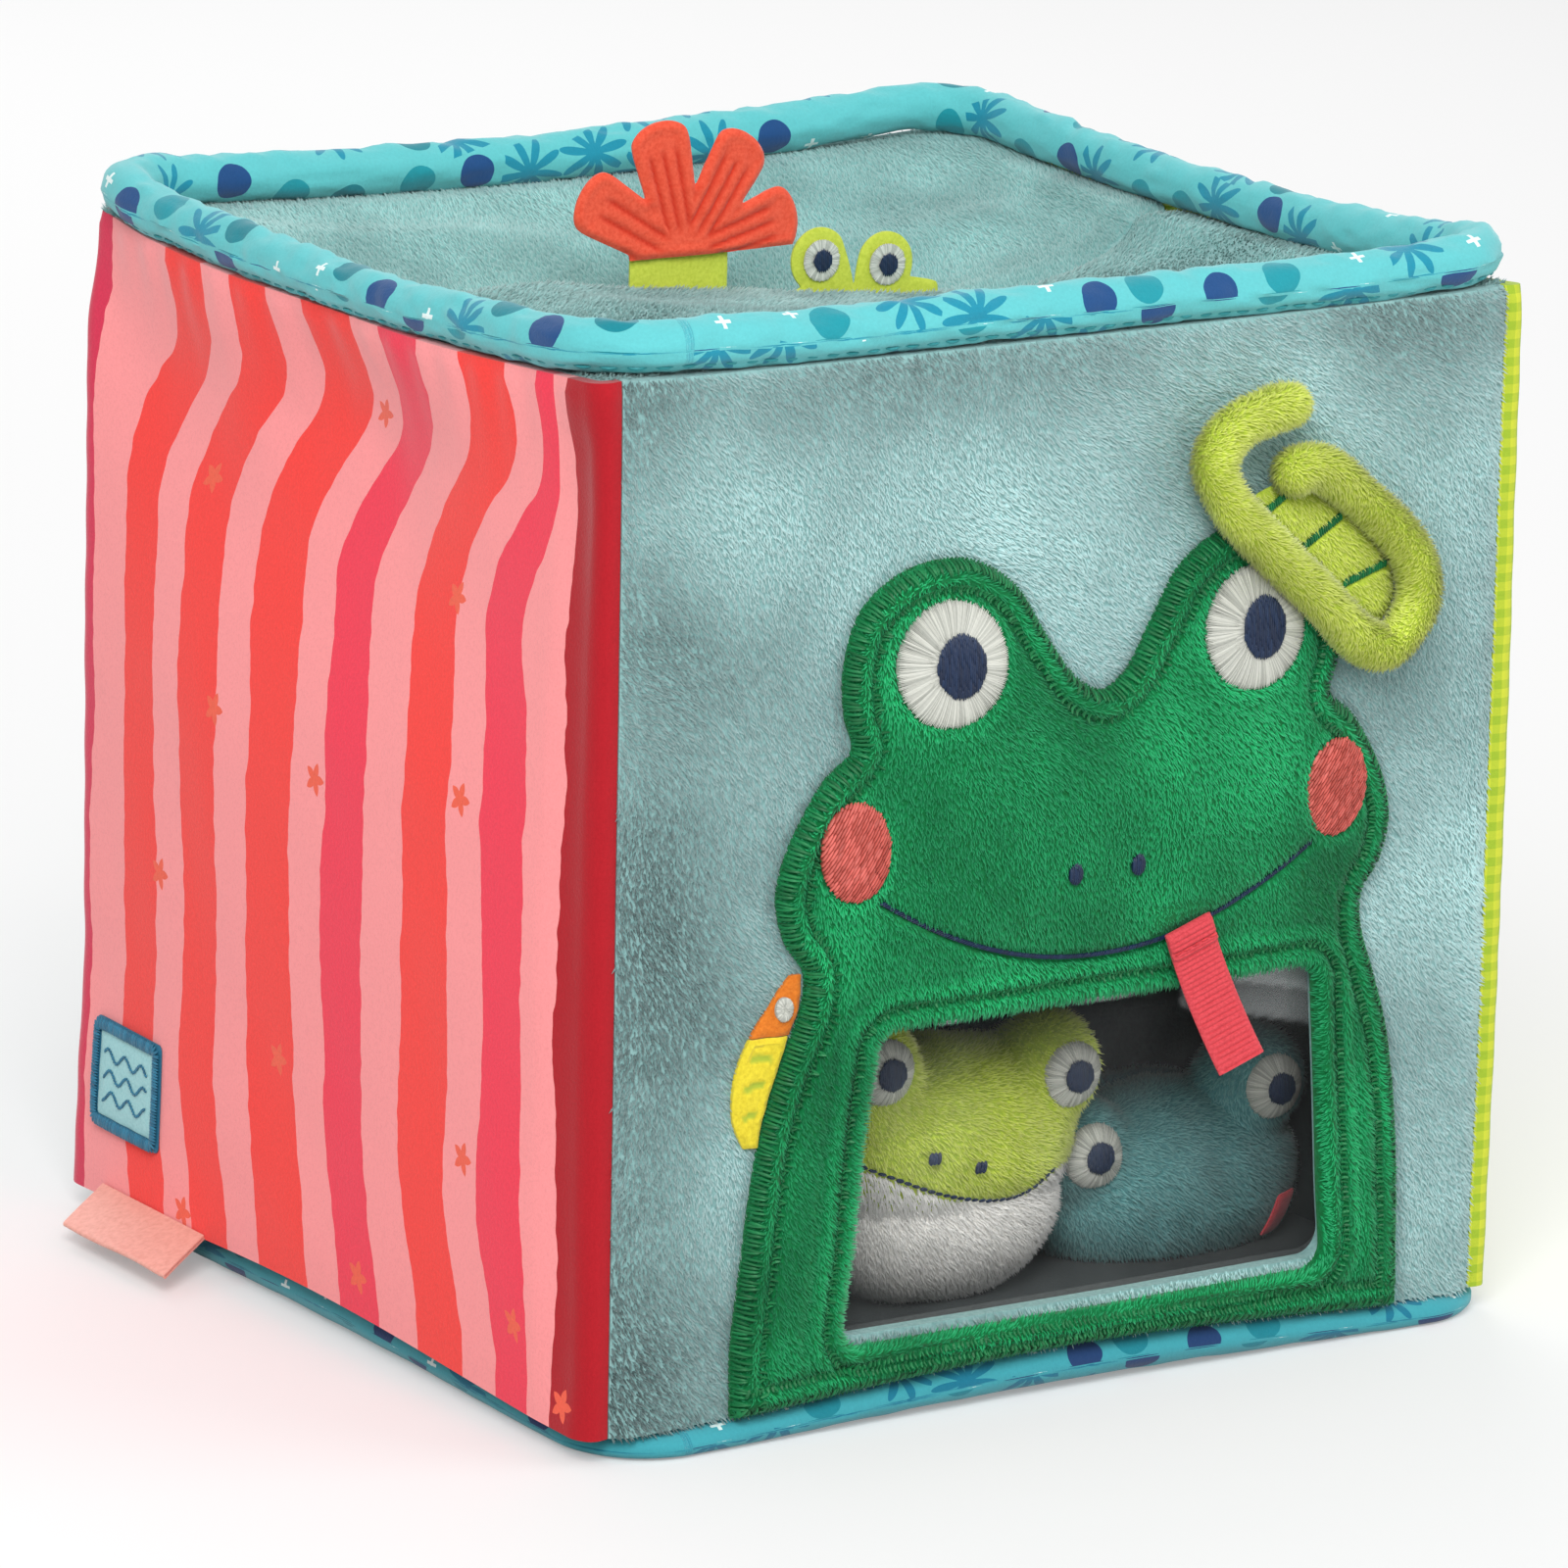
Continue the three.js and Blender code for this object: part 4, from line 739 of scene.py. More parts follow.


# Clear PVC film: see-through, milky where it is crumpled, with the lamps' gleams painted on as reflections
# (UV x)
def clearFilm(name):
    material, tree, inMm = newMaterial(name)
    ripple, bump = grainAndBump(tree, inMm, {"Scale": 0.05, "Detail": 2.0}, 0.3, 0.001)
    clear = addNode(tree, "MapRange", {1: 0.3, 2: 0.7, 3: 0.004, 4: 0.02}, {0: ripple})
    veil = addNode(tree, "Math", {"operation": "ADD"}, {0: clear, 1: clothMap(tree)[1]["X"]})
    shader = addNode(tree, "BsdfPrincipled", {
        "Base Color": tint("#D9DEDF"), "Roughness": 0.12, "Specular IOR Level": 0.6, "IOR": 1.53},
        {"Alpha": veil, "Normal": bump})
    addNode(tree, "OutputMaterial", None, {"Surface": shader})
    return material


# Each finish is named after the colour slot that it fills
finishes = {
    "teal_plush pile": minkyPile("teal minky pile, brushed", "#7EACAC", "#A2C7C7", "#CBE4E2",
                                 30, 0.34, 0.27),
    # The top flaps' pile is the same teal painted darker: painted shade of the sunken top
    "teal_plush top": minkyPile("teal minky pile, brushed the other way", "#609E9C", "#85BAB7", "#AFD4D1",
                                24, 0.45, 0.22),
    "teal_plush back": minkyBacking("teal minky knitted backing", "#94BCBA", "#7CA6A5"),
    "green_plush pile": minkyPile("green minky pile, brushed", "#016A39", "#0F8C50", "#3BB57C",
                                  22, 0.5, 0.34),
    "green_plush back": minkyBacking("green minky knitted backing", "#0D7C46", "#03632F"),
    "lime_plush pile": minkyPile("lime minky pile, brushed", "#A3BD33", "#C6D84C", "#E9F18E", 12, 0.32),
    "lime_plush back": minkyBacking("lime minky knitted backing", "#BDD04B", "#9CB536"),
    "white_plush pile": minkyPile("white minky pile, brushed", "#DAD7D0", "#F2F0EA", "#FCFBF8", 10, 0.1),
    "white_plush back": minkyBacking("white minky knitted backing", "#ECE9E3", "#D6D3CC"),
    "blue_plush pile": minkyPile("blue-green minky pile, brushed", "#47807F", "#659F9F", "#8EC2C1", 12, 0.3),
    "blue_plush back": minkyBacking("blue-green minky knitted backing", "#5F9798", "#477C7D"),
    "deep_teal_plush pile": minkyPile("deep teal minky pile, brushed", "#37686D", "#4C858A", "#6DA3A7",
                                      12, 0.3),
    "deep_teal_plush back": minkyBacking("deep teal minky knitted backing", "#467D82", "#34656A"),
    "pink_jersey": stripedJersey("pink striped jersey, brushed and printed", "#FF9C9D", [
        # The band from 86 round the front corner is the printed red stripe, darkened with painted shade where
        # the cloth turns round the corner
        (-120, -90.5, "#D93555"), (-77, -63, "#FA453F"), (-52, -38.5, "#FA453F"), (-25.5, -9, "#FA453F"),
        (3.5, 18, "#F43E55"), (31.5, 48.5, "#FA453F"), (60, 75, "#F43E55"), (86, 130, "#AE1A25")],
        {"pitch": 52, "radius": 3.4, "shift": 19}, "#F4634A"),
    "lime_check": wovenCheck("lime checked cotton, woven", "#CBD33C", "#9DB931", 3.5),
    "turquoise_print": printedCotton("turquoise printed cotton poplin", "#60C0C4",
                                     ["#1B4A80", "#1C93A0", "#14828F"], "#1A8CA6", "#E4F4F2", 14.0),
    # The same print in darker colours for the bottom piping: painted shade low under the block
    "turquoise_print deep": printedCotton("deep turquoise printed cotton poplin", "#3E9FAB",
                                          ["#1B3C6B", "#17808F", "#117482"], "#14748F", "#D4EAE8", 14.0),
    "foam_board": dyedCloth("grey foam board, skived", "#54595A", "#3F4344", 0.9, 0.2, 0.95, 0.1),
    # The lining's dark grey is partly its cloth's colour and partly painted shade, for the dark deep inside
    # the pocket
    "dark_lining": dyedCloth("dark grey polyester lining, woven", "#383E3F", "#282D2E", 0.7, 0.15, 0.8, 0.1),
    "clear_film": clearFilm("clear PVC film, cast"),
    "white_thread": satinThread("off-white rayon thread, embroidered", "#D3D4CB", "#A6A8A0"),
    "navy_thread": satinThread("navy rayon thread, embroidered", "#11294A", "#0A1B36"),
    "navy_thread teal": satinThread("teal cotton thread, lock-stitched", "#3B9CA1", "#2A7F85"),
    "coral_thread": satinThread("coral rayon thread, embroidered", "#D9695F", "#AC4A40"),
    "dark_green_thread": satinThread("dark green rayon thread, sewn", "#0E7A43", "#075A2E"),
    "patch_border_blue": satinThread("blue cotton thread, overlocked", "#2C7B9A", "#1C5F7C"),
    "coral_ribbon stitch": satinThread("red cotton thread, lock-stitched", "#E2434A", "#C22F37"),
    "coral_ribbon": dyedCloth("coral grosgrain ribbon, woven", "#D64952", "#BD373F", 0.5, 0.08, 0.7, 0.15),
    "orange_felt": dyedCloth("orange wool felt, pressed", "#E3802A", "#CB6A1C", 0.8, 0.2),
    "yellow_felt": dyedCloth("yellow wool felt, pressed", "#E9D63A", "#D3BE2C", 0.8, 0.2,
                             grooveHex="#A9B83A"),
    "coral_felt": dyedCloth("coral wool felt, pressed", "#EB5C42", "#DC482F", 0.8, 0.2, grooveHex="#C62E18"),
    "lime_felt": dyedCloth("lime wool felt, pressed", "#C8D24F", "#B3C03C", 0.8, 0.2),
    "patch_pale_blue": dyedCloth("pale blue tape, woven", "#A9DBDD", "#93CBCF", 0.6, 0.1, 0.7, 0.2),
    "label_pink": dyedCloth("pale pink satin tape, woven", "#EFAFA0", "#E09B8B", 1.2, 0.08, 0.5, 0.2),
}
print("finishes made:", len(finishes))


# Cloth sides
sideCloth = {"spacing": 1.25, "right": "lime_check", "back": "teal_plush back", "left": "pink_jersey"}


def sideSpots(name):
    side = sides[name]
    reach = clothReach(side) - 0.15
    columns = np.linspace(-reach, reach, int(2 * reach / sideCloth["spacing"]))
    rows = np.linspace(0, 1, int(block["seamHeight"] / sideCloth["spacing"]))
    s, share = np.meshgrid(columns, rows)
    limit = sideReach(side)
    along = np.clip(s, -limit, limit)
    low = hemEdge(side, along)
    return s, low + (rimEdge(side, along) - low) * share


# The printed stripes swing towards the front under the rim, and back again lower down
stripeSwing = {"drops": [0, 5, 10, 14, 18, 22, 26, 30, 36, 42, 48, 54, 62, 80],
               "shifts": [16, 18, 18.5, 18, 16.5, 13.5, 9.5, 5.5, 1, -2.5, -4.5, -4, -2.5, 0]}
swingDrops = np.arange(-20, 100, 0.5)
swingShifts = np.interp(swingDrops, stripeSwing["drops"], stripeSwing["shifts"])
softener = np.hanning(21) / np.hanning(21).sum()
swingShifts = np.convolve(np.pad(swingShifts, 10, mode="edge"), softener, "valid")


def stripeShift(s, z):
    drop = rimEdge(sides["left"], np.clip(s, -98, 98)) - z
    swing = np.interp(drop, swingDrops, swingShifts) + 7 * fade((z - 6) / 42)
    return swing * ease((88 - s) / 16) * ease((s + 100) / 44)


def sideSheet(name, flat, faces, uv, finish):
    top = clothAt(name, *flat.T, 0)
    bottom = clothAt(name, *flat.T, -block["skin"] + 0.1)
    return makeSheet(f"{name}_panel_cloth", top, bottom, faces, uv, finish), top, [faces]


sheets = {}
for name in ("right", "back", "left"):
    s, z = sideSpots(name)
    flat = np.stack([s.ravel(), z.ravel()], -1)
    uv = flat.copy()
    if name == "left":
        uv[:, 0] -= stripeShift(*flat.T)
    sheets[name] = sideSheet(name, flat, gridFaces(*s.shape), uv, sideCloth[name])
print("side cloths done")


# Frog figure on the front, with its window
frog = {
    "axis": 1.5, "halfWidth": 75.5, "height": 163.2, "thickness": 3.0,
    "halfShares": [
        (1, -0.04), (0.993, 0.147), (0.964, 0.294), (0.927, 0.38), (0.877, 0.448), (0.83, 0.51),
        (0.828, 0.548), (0.878, 0.583), (0.903, 0.63), (0.888, 0.672), (0.845, 0.716),
        (0.77, 0.765), (0.695, 0.795), (0.716, 0.833), (0.722, 0.888), (0.675, 0.953),
        (0.55, 0.993), (0.384, 1), (0.245, 0.965), (0.16, 0.904), (0.08, 0.852), (0, 0.833)],
    "bandWidth": 5.2,  # pressed band under the outline's zigzag stitches
}
window = {"x": 3.7, "top": 77, "bottom": 16, "halfTop": 50.2, "halfBottom": 55, "corner": 4.5,
          "boardMore": 9}  # the front board is cut farther back at the right


def frogOutline():
    right = np.array([(x * frog["halfWidth"], z * frog["height"]) for x, z in frog["halfShares"]])
    left = right[:-1][::-1] * [-1, 1]
    line = smoothLine(np.concatenate([right, left]), 10)
    line[:, 0] += frog["axis"]
    hem = hemEdge(sides["front"], line[:, 0]) + 0.2
    line = line[line[:, 1] > hem]
    foot = np.linspace(line[-1, 0], line[0, 0], 90)
    foot = np.stack([foot, hemEdge(sides["front"], foot) + 0.2], -1)
    return evenly(np.concatenate([line, foot]), 1.0, closed=True)


def windowOutline(grow, sill=0.0, rightMore=0.0):
    right = grow + rightMore
    corners = [(-window["halfBottom"] - grow, window["bottom"] - grow + sill),
               (window["halfBottom"] + right, window["bottom"] - grow + sill),
               (window["halfTop"] + right, window["top"] + grow),
               (-window["halfTop"] - grow, window["top"] + grow)]
    out = []
    radius = window["corner"] + max(0.0, grow)
    for k, (x, z) in enumerate(corners):
        inX = x + (radius if x < 0 else -radius)
        inZ = z + (radius if k < 2 else -radius)
        for step in range(9):
            angle = math.pi * (1 + k / 2 + step / 16)
            out.append((window["x"] + inX + radius * math.cos(angle), inZ + radius * math.sin(angle)))
    return evenly(np.array(out), 1.0, closed=True)


frogRing = frogOutline()
windowRing = windowOutline(0)
# Places and half sizes: x, z, halfX, halfZ
eyes = {"left": (-32.0, 144.7, 11.9, 12.0), "right": (35.0, 144.7, 11.6, 12.0)}
pupils = {"left": (-32.0 + 1.2, 144.7 - 0.4, 5.2, 5.9), "right": (35.0 + 1.2, 144.7, 4.9, 5.9)}
cheeks = {"left": (-52.1, 111.5, 7.3, 9.2), "right": (55.1, 111.5, 7.2, 9.4)}
nostrils = {"left": (-5.7, 102.5, 1.5, 2.0), "right": (8.7, 102.5, 1.5, 2.0)}
mouth = {"half": 48, "z": 86, "rise": 15.4}
mouthX = np.linspace(-mouth["half"], mouth["half"], 130)
mouthLine = np.stack([frog["axis"] + mouthX, mouth["z"] + mouth["rise"] * (mouthX / mouth["half"]) ** 2], -1)


def ellipseShare(points, spot):
    x, z, halfX, halfZ = spot
    return np.hypot((points[:, 0] - x) / halfX, (points[:, 1] - z) / halfZ)


# Height of the frog's plush over the front: rounded edges, a pressed band under the
# outline, two stitched rows round the window, and pits where threads hold it down
def frogRelief(flat):
    edge, _ = distanceTo(flat, frogRing)
    sill, _ = distanceTo(flat, windowRing)
    lip, _ = distanceTo(flat, mouthLine, closed=False)
    lift = frog["thickness"] * np.sqrt(np.clip(1 - np.clip(1 - edge / 2.6, 0, 1) ** 2, 0.08, 1))
    lift *= 0.45 + 0.55 * np.sqrt(1 - np.clip(1 - sill / 2.4, 0, 1) ** 2)
    lift -= 1.0 * bell((edge - frog["bandWidth"]) / 0.8)
    lift -= 1.1 * bell((sill - 4.2) / 0.7) + 0.5 * bell((sill - 8.6) / 0.8)
    lift += 0.9 * ease((edge - 7) / 16) * ease((sill - 9) / 12)
    lift -= 0.9 * bell(lip / 1.3)
    for spots, depth, start, run in ((eyes, 1.1, 0.86, 0.22), (cheeks, 0.9, 0.82, 0.26)):
        for spot in spots.values():
            lift -= depth * fade((ellipseShare(flat, spot) - start) / run)
    lift += 0.3 * softNoise(*flat.T, 9, 71) * ease(edge / 8)
    return block["gap"] + np.maximum(lift, 0.5)


def frontAt(x, z, lift):
    return clothAt("front", x, z, lift)


# Outline between a lower and an upper edge of as many points, with straight ends
def ringBetween(x, low, high, count):
    footRow = np.stack([x, low + 0 * x], -1)
    headRow = np.stack([x, high], -1)[::-1]
    rise = np.linspace(0, 1, count)[1:-1, None]
    climb = footRow[-1] + (headRow[0] - footRow[-1]) * rise
    return np.concatenate([footRow, climb, headRow, headRow[-1] + (footRow[0] - headRow[-1]) * rise])


# Front cloth, cut out behind the window and a little higher along the sill
side = sides["front"]
reach = sideReach(side) - 0.15
edgeX = np.linspace(-reach, reach, 158)
frontRing = ringBetween(edgeX, hemEdge(side, edgeX), rimEdge(side, edgeX), 158)
flat, faces = fillOutline(frontRing, sideCloth["spacing"], [windowOutline(0.4, sill=2.2, rightMore=1.4)])
sheets["front"] = sideSheet("front", flat, faces, flat, "teal_plush back")

# The frog's plush
flat, faces = fillOutline(frogRing, 1.15, [windowRing])
frogTop, frogFaces = frontAt(*flat.T, frogRelief(flat)), [faces]
frogPiece = makeSheet("frog_plush", frogTop, frontAt(*flat.T, block["gap"] / 2), faces, flat,
                      "green_plush back", node="frog_applique")
print("front cloth and frog done")


# Piping round the top and the foot
def ringSpots(outs, bend, straight, corner):
    spots = []
    for quarter, name in enumerate(sideNames):
        turn = quarter * math.pi / 2
        before = outs[sideNames[quarter - 1]] - bend
        after = outs[sideNames[(quarter + 1) % 4]] - bend
        rows = [(along, outs[name]) for along in np.linspace(-before, after, straight)]
        for k in range(1, corner):
            angle = k / corner * math.pi / 2
            rows.append((after + bend * math.sin(angle), outs[name] - bend + bend * math.cos(angle)))
        for along, out in rows:
            limit = sideReach(sides[name])
            spots.append((name, np.clip(along, -limit, limit),
                          along * math.cos(turn) + out * math.sin(turn),
                          along * math.sin(turn) - out * math.cos(turn), turn))
    return spots


def loopRun(path):
    return np.concatenate([[0], np.cumsum(np.linalg.norm(np.diff(path, axis=0), axis=1))])


topOuts = {name: faceOf(side) + piping["overhang"] - piping["radius"] for name, side in sides.items()}
path = []
for name, along, x, y, turn in ringSpots(topOuts, piping["bend"], 110, 18):
    bow = swell(sides[name], along, rimEdge(sides[name], along))
    z = rimEdge(sides[name], along) + block["gap"] + piping["radius"]
    path.append((x + bow * math.sin(turn), y - bow * math.cos(turn), z))
path = np.array(path)
for _ in range(6):  # softens the corners
    path = (np.roll(path, 1, 0) + 2 * path + np.roll(path, -1, 0)) / 4
run = loopRun(path)
fullRun = run[-1] + np.linalg.norm(path[0] - path[-1])
phase = run / fullRun * 2 * math.pi
ringX, ringY = 60 * np.cos(phase), 60 * np.sin(phase)
path[:, 2] += 0.5 * softNoise(ringX, ringY, 22, 81) + 0.25 * softNoise(ringX, ringY, 8, 82)
topPath = path
count = 40
angle = fullTurn(count)
radius = piping["radius"] * (1 + 0.035 * softNoise(ringX, ringY, 11, 83))[:, None] * np.ones(count)
wrinkle = softNoise(run[:, None], 14 * angle[None], 5.5, 84)
wrinkle += 0.6 * softNoise(run[:, None], 9 * angle[None], 2.6, 85)
drag = softNoise(run[:, None] + 2.5 * angle[None], 5 * angle[None], 3.4, 87)
radius = radius + 0.26 * wrinkle + 0.42 * drag * ease(np.sin(angle + 0.6) + 0.3)[None]
groove = bell((np.angle(np.exp(1j * (angle + 0.85)))) / 0.14)
radius = radius - 0.4 * groove[None] * (1 + 0.25 * np.sin(run * 2 * math.pi / 2.4))[:, None]
points, groups = sweepTube(path, radius, count, True, (0, 0, 1))
uv = np.stack([np.repeat(run, count), np.tile(angle * piping["radius"], len(run))], -1)
makePiece("top_piping_tube", points, groups, "turquoise_print", uv=uv)

baseOuts = {name: faceOf(side) + side["footProud"] for name, side in sides.items()}
spots = ringSpots(baseOuts, piping["baseBend"], 110, 16)
path = np.array([(x, y, footZ(sides[name], along)) for name, along, x, y, turn in spots])
tall = np.array([footHalf(sides[name], along) for name, along, x, y, turn in spots])
run = loopRun(path)
count = 28
angle = fullTurn(count)
wrinkle = 0.14 * softNoise(run[:, None], 14 * angle[None], 5.5, 86)
wide = piping["radius"] + wrinkle
points, groups = sweepTube(path, wide, count, True, (0, 0, 1), heights=tall[:, None] + wrinkle)
points[:, 2] = np.where(points[:, 2] < 0.35, 0.35 * np.exp(np.clip(points[:, 2] - 0.35, -9, 0)), points[:, 2])
uv = np.stack([np.repeat(run, count), np.tile(angle * piping["radius"], len(run))], -1)
makePiece("bottom_piping_tube", points, groups, "turquoise_print deep", uv=uv)
print("piping done")


# Base cloth and the foam boards
def flatPlate(name, low, high, levels, spacing, finish):
    ring = evenly(roundedBox(low, high, 12), 3.0, closed=True)
    flat, faces = fillOutline(ring, spacing)
    rounding = 0.8 * fade(distanceTo(flat, ring)[0] / 2.5)
    top = np.column_stack([flat, levels[1] - rounding])
    bottom = np.column_stack([flat, np.full(len(flat), levels[0])])
    return makeSheet(name, top, bottom, faces, flat, finish)


baseEdge = {name: out - piping["radius"] - block["gap"] for name, out in baseOuts.items()}
basePanel = flatPlate("bottom_panel_cloth", (-baseEdge["left"], -baseEdge["front"]),
                      (baseEdge["right"], baseEdge["back"]), (0.3, 2.7), 4.0, "turquoise_print")
board = {"innerX": 91.8, "innerY": 85.8, "halfX": 91.5, "halfY": 85.5}
edge = np.array([board["halfX"], board["halfY"]]) - 0.2
flatPlate("base_board_foam", -edge, edge, (3.4, 9.2), 6.0, "foam_board")

boardOuter = -block["skin"] - 2 * block["gap"] - block["film"]
for name, side in sides.items():
    end = (board["halfY"] if side["wraps"] else board["halfX"]) - 0.3
    low = max(hemEdge(sides[other], 0) for other in sides) + 0.3
    columns = np.linspace(-end, end, 40)
    ring = ringBetween(columns, low, rimEdge(side, columns) - 5.2, 36)
    holes = [windowOutline(0.6, rightMore=window["boardMore"])] if name == "front" else []
    flat, faces = fillOutline(ring, 4.0, holes)
    rounding = 0.9 * fade(distanceTo(flat, ring)[0] / 2.5)
    top = sideAt(name, *flat.T, boardOuter - 0.1 - rounding)
    bottom = sideAt(name, *flat.T, boardOuter - block["board"] + 0.1 + rounding)
    makeSheet(f"{name}_board_foam", top, bottom, faces, flat, "foam_board")
print("boards done")


# Sunken top: two flaps with a slit between them
flaps = {"thickness": 3, "slitY": 18, "slitWidth": 8, "frontSag": 13, "rearSag": 19, "peak": 0.286}
flapHalfX = block["halfWidth"] - block["skin"] - block["gap"]
flapHalfY = block["halfDepth"] - block["skin"] - block["gap"]
sagHalfX = board["innerX"] - block["gap"]
sagHalfY = board["innerY"] - block["gap"]


def rimLevel(x, y):
    across = x / flapHalfX
    deep = y / flapHalfY
    drop = 0
    for name, share, along in (("left", -across, deep), ("right", across, deep),
                               ("front", -deep, across), ("back", deep, across)):
        drop = drop + sides[name]["rimSag"] * dome(along) * ((1 + share) / 2) ** 2
    return block["seamHeight"] - drop


# Share by which the slit is closed, fully at its ends
def slitShut(x):
    return fade((84 - np.abs(x)) / 34)


def flapTop(x, y, front):
    share = np.clip((x / sagHalfX + 1) / 2, 0, 1)
    lip = flaps["frontSag"] * (1 - share) ** 0.5 * share ** 2 / flaps["peak"]
    rear = flaps["rearSag"] * dome(x / sagHalfX) ** 0.6
    shut = slitShut(x)
    lip, rear = lip + (rear - lip) * shut / 2, rear + (lip - rear) * shut / 2
    frontLip = flaps["slitY"] - flaps["slitWidth"] / 2
    rearLip = flaps["slitY"] + flaps["slitWidth"] / 2
    run = (y + sagHalfY) / (frontLip + sagHalfY) if front else (sagHalfY - y) / (sagHalfY - rearLip)
    depth = (lip if front else rear) * np.sin(np.clip(run, 0, 1) * math.pi / 2)
    edge = np.minimum(flapHalfX - np.abs(x), flapHalfY - np.abs(y))
    calm = ease((edge - 8) / 18)
    wave = 1.5 * softNoise(x + 0.5 * y, y, 34, 91 + front) + 0.6 * softNoise(x, y - 0.6 * x, 14, 93 + front)
    ridge = 2.2 * bell((y - 62 + 0.16 * x) / 9) if not front else 1.2 * bell((y + 42 - 0.2 * x) / 11)
    toLip = (frontLip - y) if front else (y - rearLip)
    roll = -3.4 * fade(toLip / 4.2) * (1 - 0.6 * shut)
    return rimLevel(x, y) - depth + (wave + ridge) * calm * ease((toLip + 4) / 12) + roll


flapPieces = {}
for name, front, low, high in (("front", True, -flapHalfY, flaps["slitY"] - flaps["slitWidth"] / 2),
                               ("rear", False, flaps["slitY"] + flaps["slitWidth"] / 2, flapHalfY)):
    ring = evenly(roundedBox((-flapHalfX, low), (flapHalfX, high), 3.0), 1.6, closed=True)
    flat, faces = fillOutline(ring, 1.6)
    level = flapTop(*flat.T, front)
    toLip = high - flat[:, 1] if front else flat[:, 1] - low
    shift = (flaps["slitWidth"] / 2 - 0.2) * slitShut(flat[:, 0]) * fade(toLip / 20)
    flat = np.column_stack([flat[:, 0], flat[:, 1] + (shift if front else -shift)])
    top = np.column_stack([flat, level])
    bottom = np.column_stack([flat, level - flaps["thickness"] + 0.1])
    piece = makeSheet(f"top_{name}_flap_cloth", top, bottom, faces, flat, "teal_plush back")
    flapPieces[name] = (piece, top, [faces])
print("top flaps done")


# Embroidery: a low mound of thread with strands laid over it
def threadMound(name, surface, spot, strands, finish, lift, seed, body="block"):
    x, z, halfX, halfZ = spot
    rise = strands["rise"]

    def mound(px, pz, up):
        share = np.hypot((px - x) / halfX, (pz - z) / halfZ)
        return surface(px, pz, up + rise * np.sqrt(np.clip(1 - share ** 2, 0, 1)))

    ring = ellipse(x, z, 0.96 * halfX, 0.96 * halfZ, strands.get("sides", 56))
    flat, faces = fillOutline(ring, strands["cell"])
    top = mound(*flat.T, lift + strands["base"])
    bottom = surface(*flat.T, np.full(len(flat), lift))
    points, groups = closeSheet(top, bottom, faces)
    parts = [(points, groups, np.tile([0.3, 0.0], (len(points), 1)))]
    rng = np.random.default_rng(seed)
    laid = {"width": strands["width"], "height": strands["height"], "lift": lift + strands["base"] - 0.15}
    if strands["radial"]:
        count = strands["radial"]
        for low, high, share in ((0.08, 0.55, 0.5), (0.34, 1.0, 1.0)):
            many = int(count * share)
            angle = (np.arange(many) + 0.4 * rng.random(many)) / many * 2 * math.pi
            inner = low + 0.16 * rng.random(many)
            outer = high + rng.uniform(-0.035, 0.025, many)
            ways = np.stack([np.cos(angle) * halfX, np.sin(angle) * halfZ], -1)
            starts = ways * inner[:, None] + [x, z]
            ends = ways * outer[:, None] + [x, z]
            parts.append(layThreads(mound, starts, ends, laid, seed + many))
            laid = dict(laid, lift=laid["lift"] + 0.12)
    else:
        starts, ends = rowStitches(spot, strands, rng)
        parts.append(layThreads(mound, starts, ends, laid, seed + 1))
    points, groups, uv = joinParts(*parts)
    return makePiece(f"{name}_thread", points, groups, finish, body, uv, sharp=60)


# Rows of parallel stitches that fill an ellipse, their ends a little uneven
def rowStitches(spot, strands, rng):
    x, z, halfX, halfZ = spot
    turn = strands["turn"]
    way = np.array([math.cos(turn), math.sin(turn)])
    side = np.array([-way[1], way[0]])
    reach = math.hypot(halfX * side[0], halfZ * side[1])
    starts, ends = [], []
    half = np.array([halfX, halfZ]) ** -2.0
    for index, offset in enumerate(np.arange(-reach + strands["pitch"] / 2, reach, strands["pitch"])):
        a = (way ** 2 * half).sum()
        b = 2 * offset * (way * side * half).sum()
        c = offset ** 2 * (side ** 2 * half).sum() - 1
        root = math.sqrt(max(0.0, b * b - 4 * a * c))
        low = (-b - root) / (2 * a) - rng.uniform(-0.1, strands["jag"])
        high = (-b + root) / (2 * a) + rng.uniform(-0.1, strands["jag"])
        marks = [low]
        step = low + strands["stitch"] * (0.35 + 0.5 * (index % 3) / 2)
        while step < high - 0.6:
            marks.append(step)
            step += strands["stitch"]
        marks.append(high)
        for start, end in zip(marks[:-1], marks[1:]):
            starts.append(np.array([x, z]) + side * offset + way * start)
            ends.append(np.array([x, z]) + side * offset + way * (end + 0.15))
    return np.array(starts), np.array(ends)


# Short stitches across or along a line of points
def lineStitches(line, pitch, length, slant):
    spots = evenly(line, pitch)
    ahead = unit(np.gradient(spots, axis=0))
    side = np.stack([-ahead[:, 1], ahead[:, 0]], -1)
    way = ahead * math.cos(slant) + side * math.sin(slant)
    half = np.broadcast_to(np.asarray(length) / 2, (len(spots),))[:, None]
    return spots - way * half, spots + way * half


# Embroidered face
eyeStrands = {"rise": 1.0, "base": 0.9, "cell": 1.2, "width": 0.38, "height": 0.4, "radial": 230}
pupilStrands = {"rise": 0.6, "base": 0.5, "cell": 1.0, "width": 0.5, "height": 0.36, "radial": 0,
                "turn": math.pi / 2, "pitch": 0.44, "stitch": 4.2, "jag": 0.35}
cheekStrands = {"rise": 0.8, "base": 0.8, "cell": 1.0, "width": 0.55, "height": 0.6, "radial": 0,
                "turn": 0.95, "pitch": 0.6, "stitch": 2.6, "jag": 0.4}
nostrilStrands = {"rise": 0.4, "base": 0.4, "cell": 0.5, "width": 0.48, "height": 0.4, "radial": 0,
                  "turn": math.pi / 2, "pitch": 0.42, "stitch": 9.0, "jag": 0.25, "sides": 24}
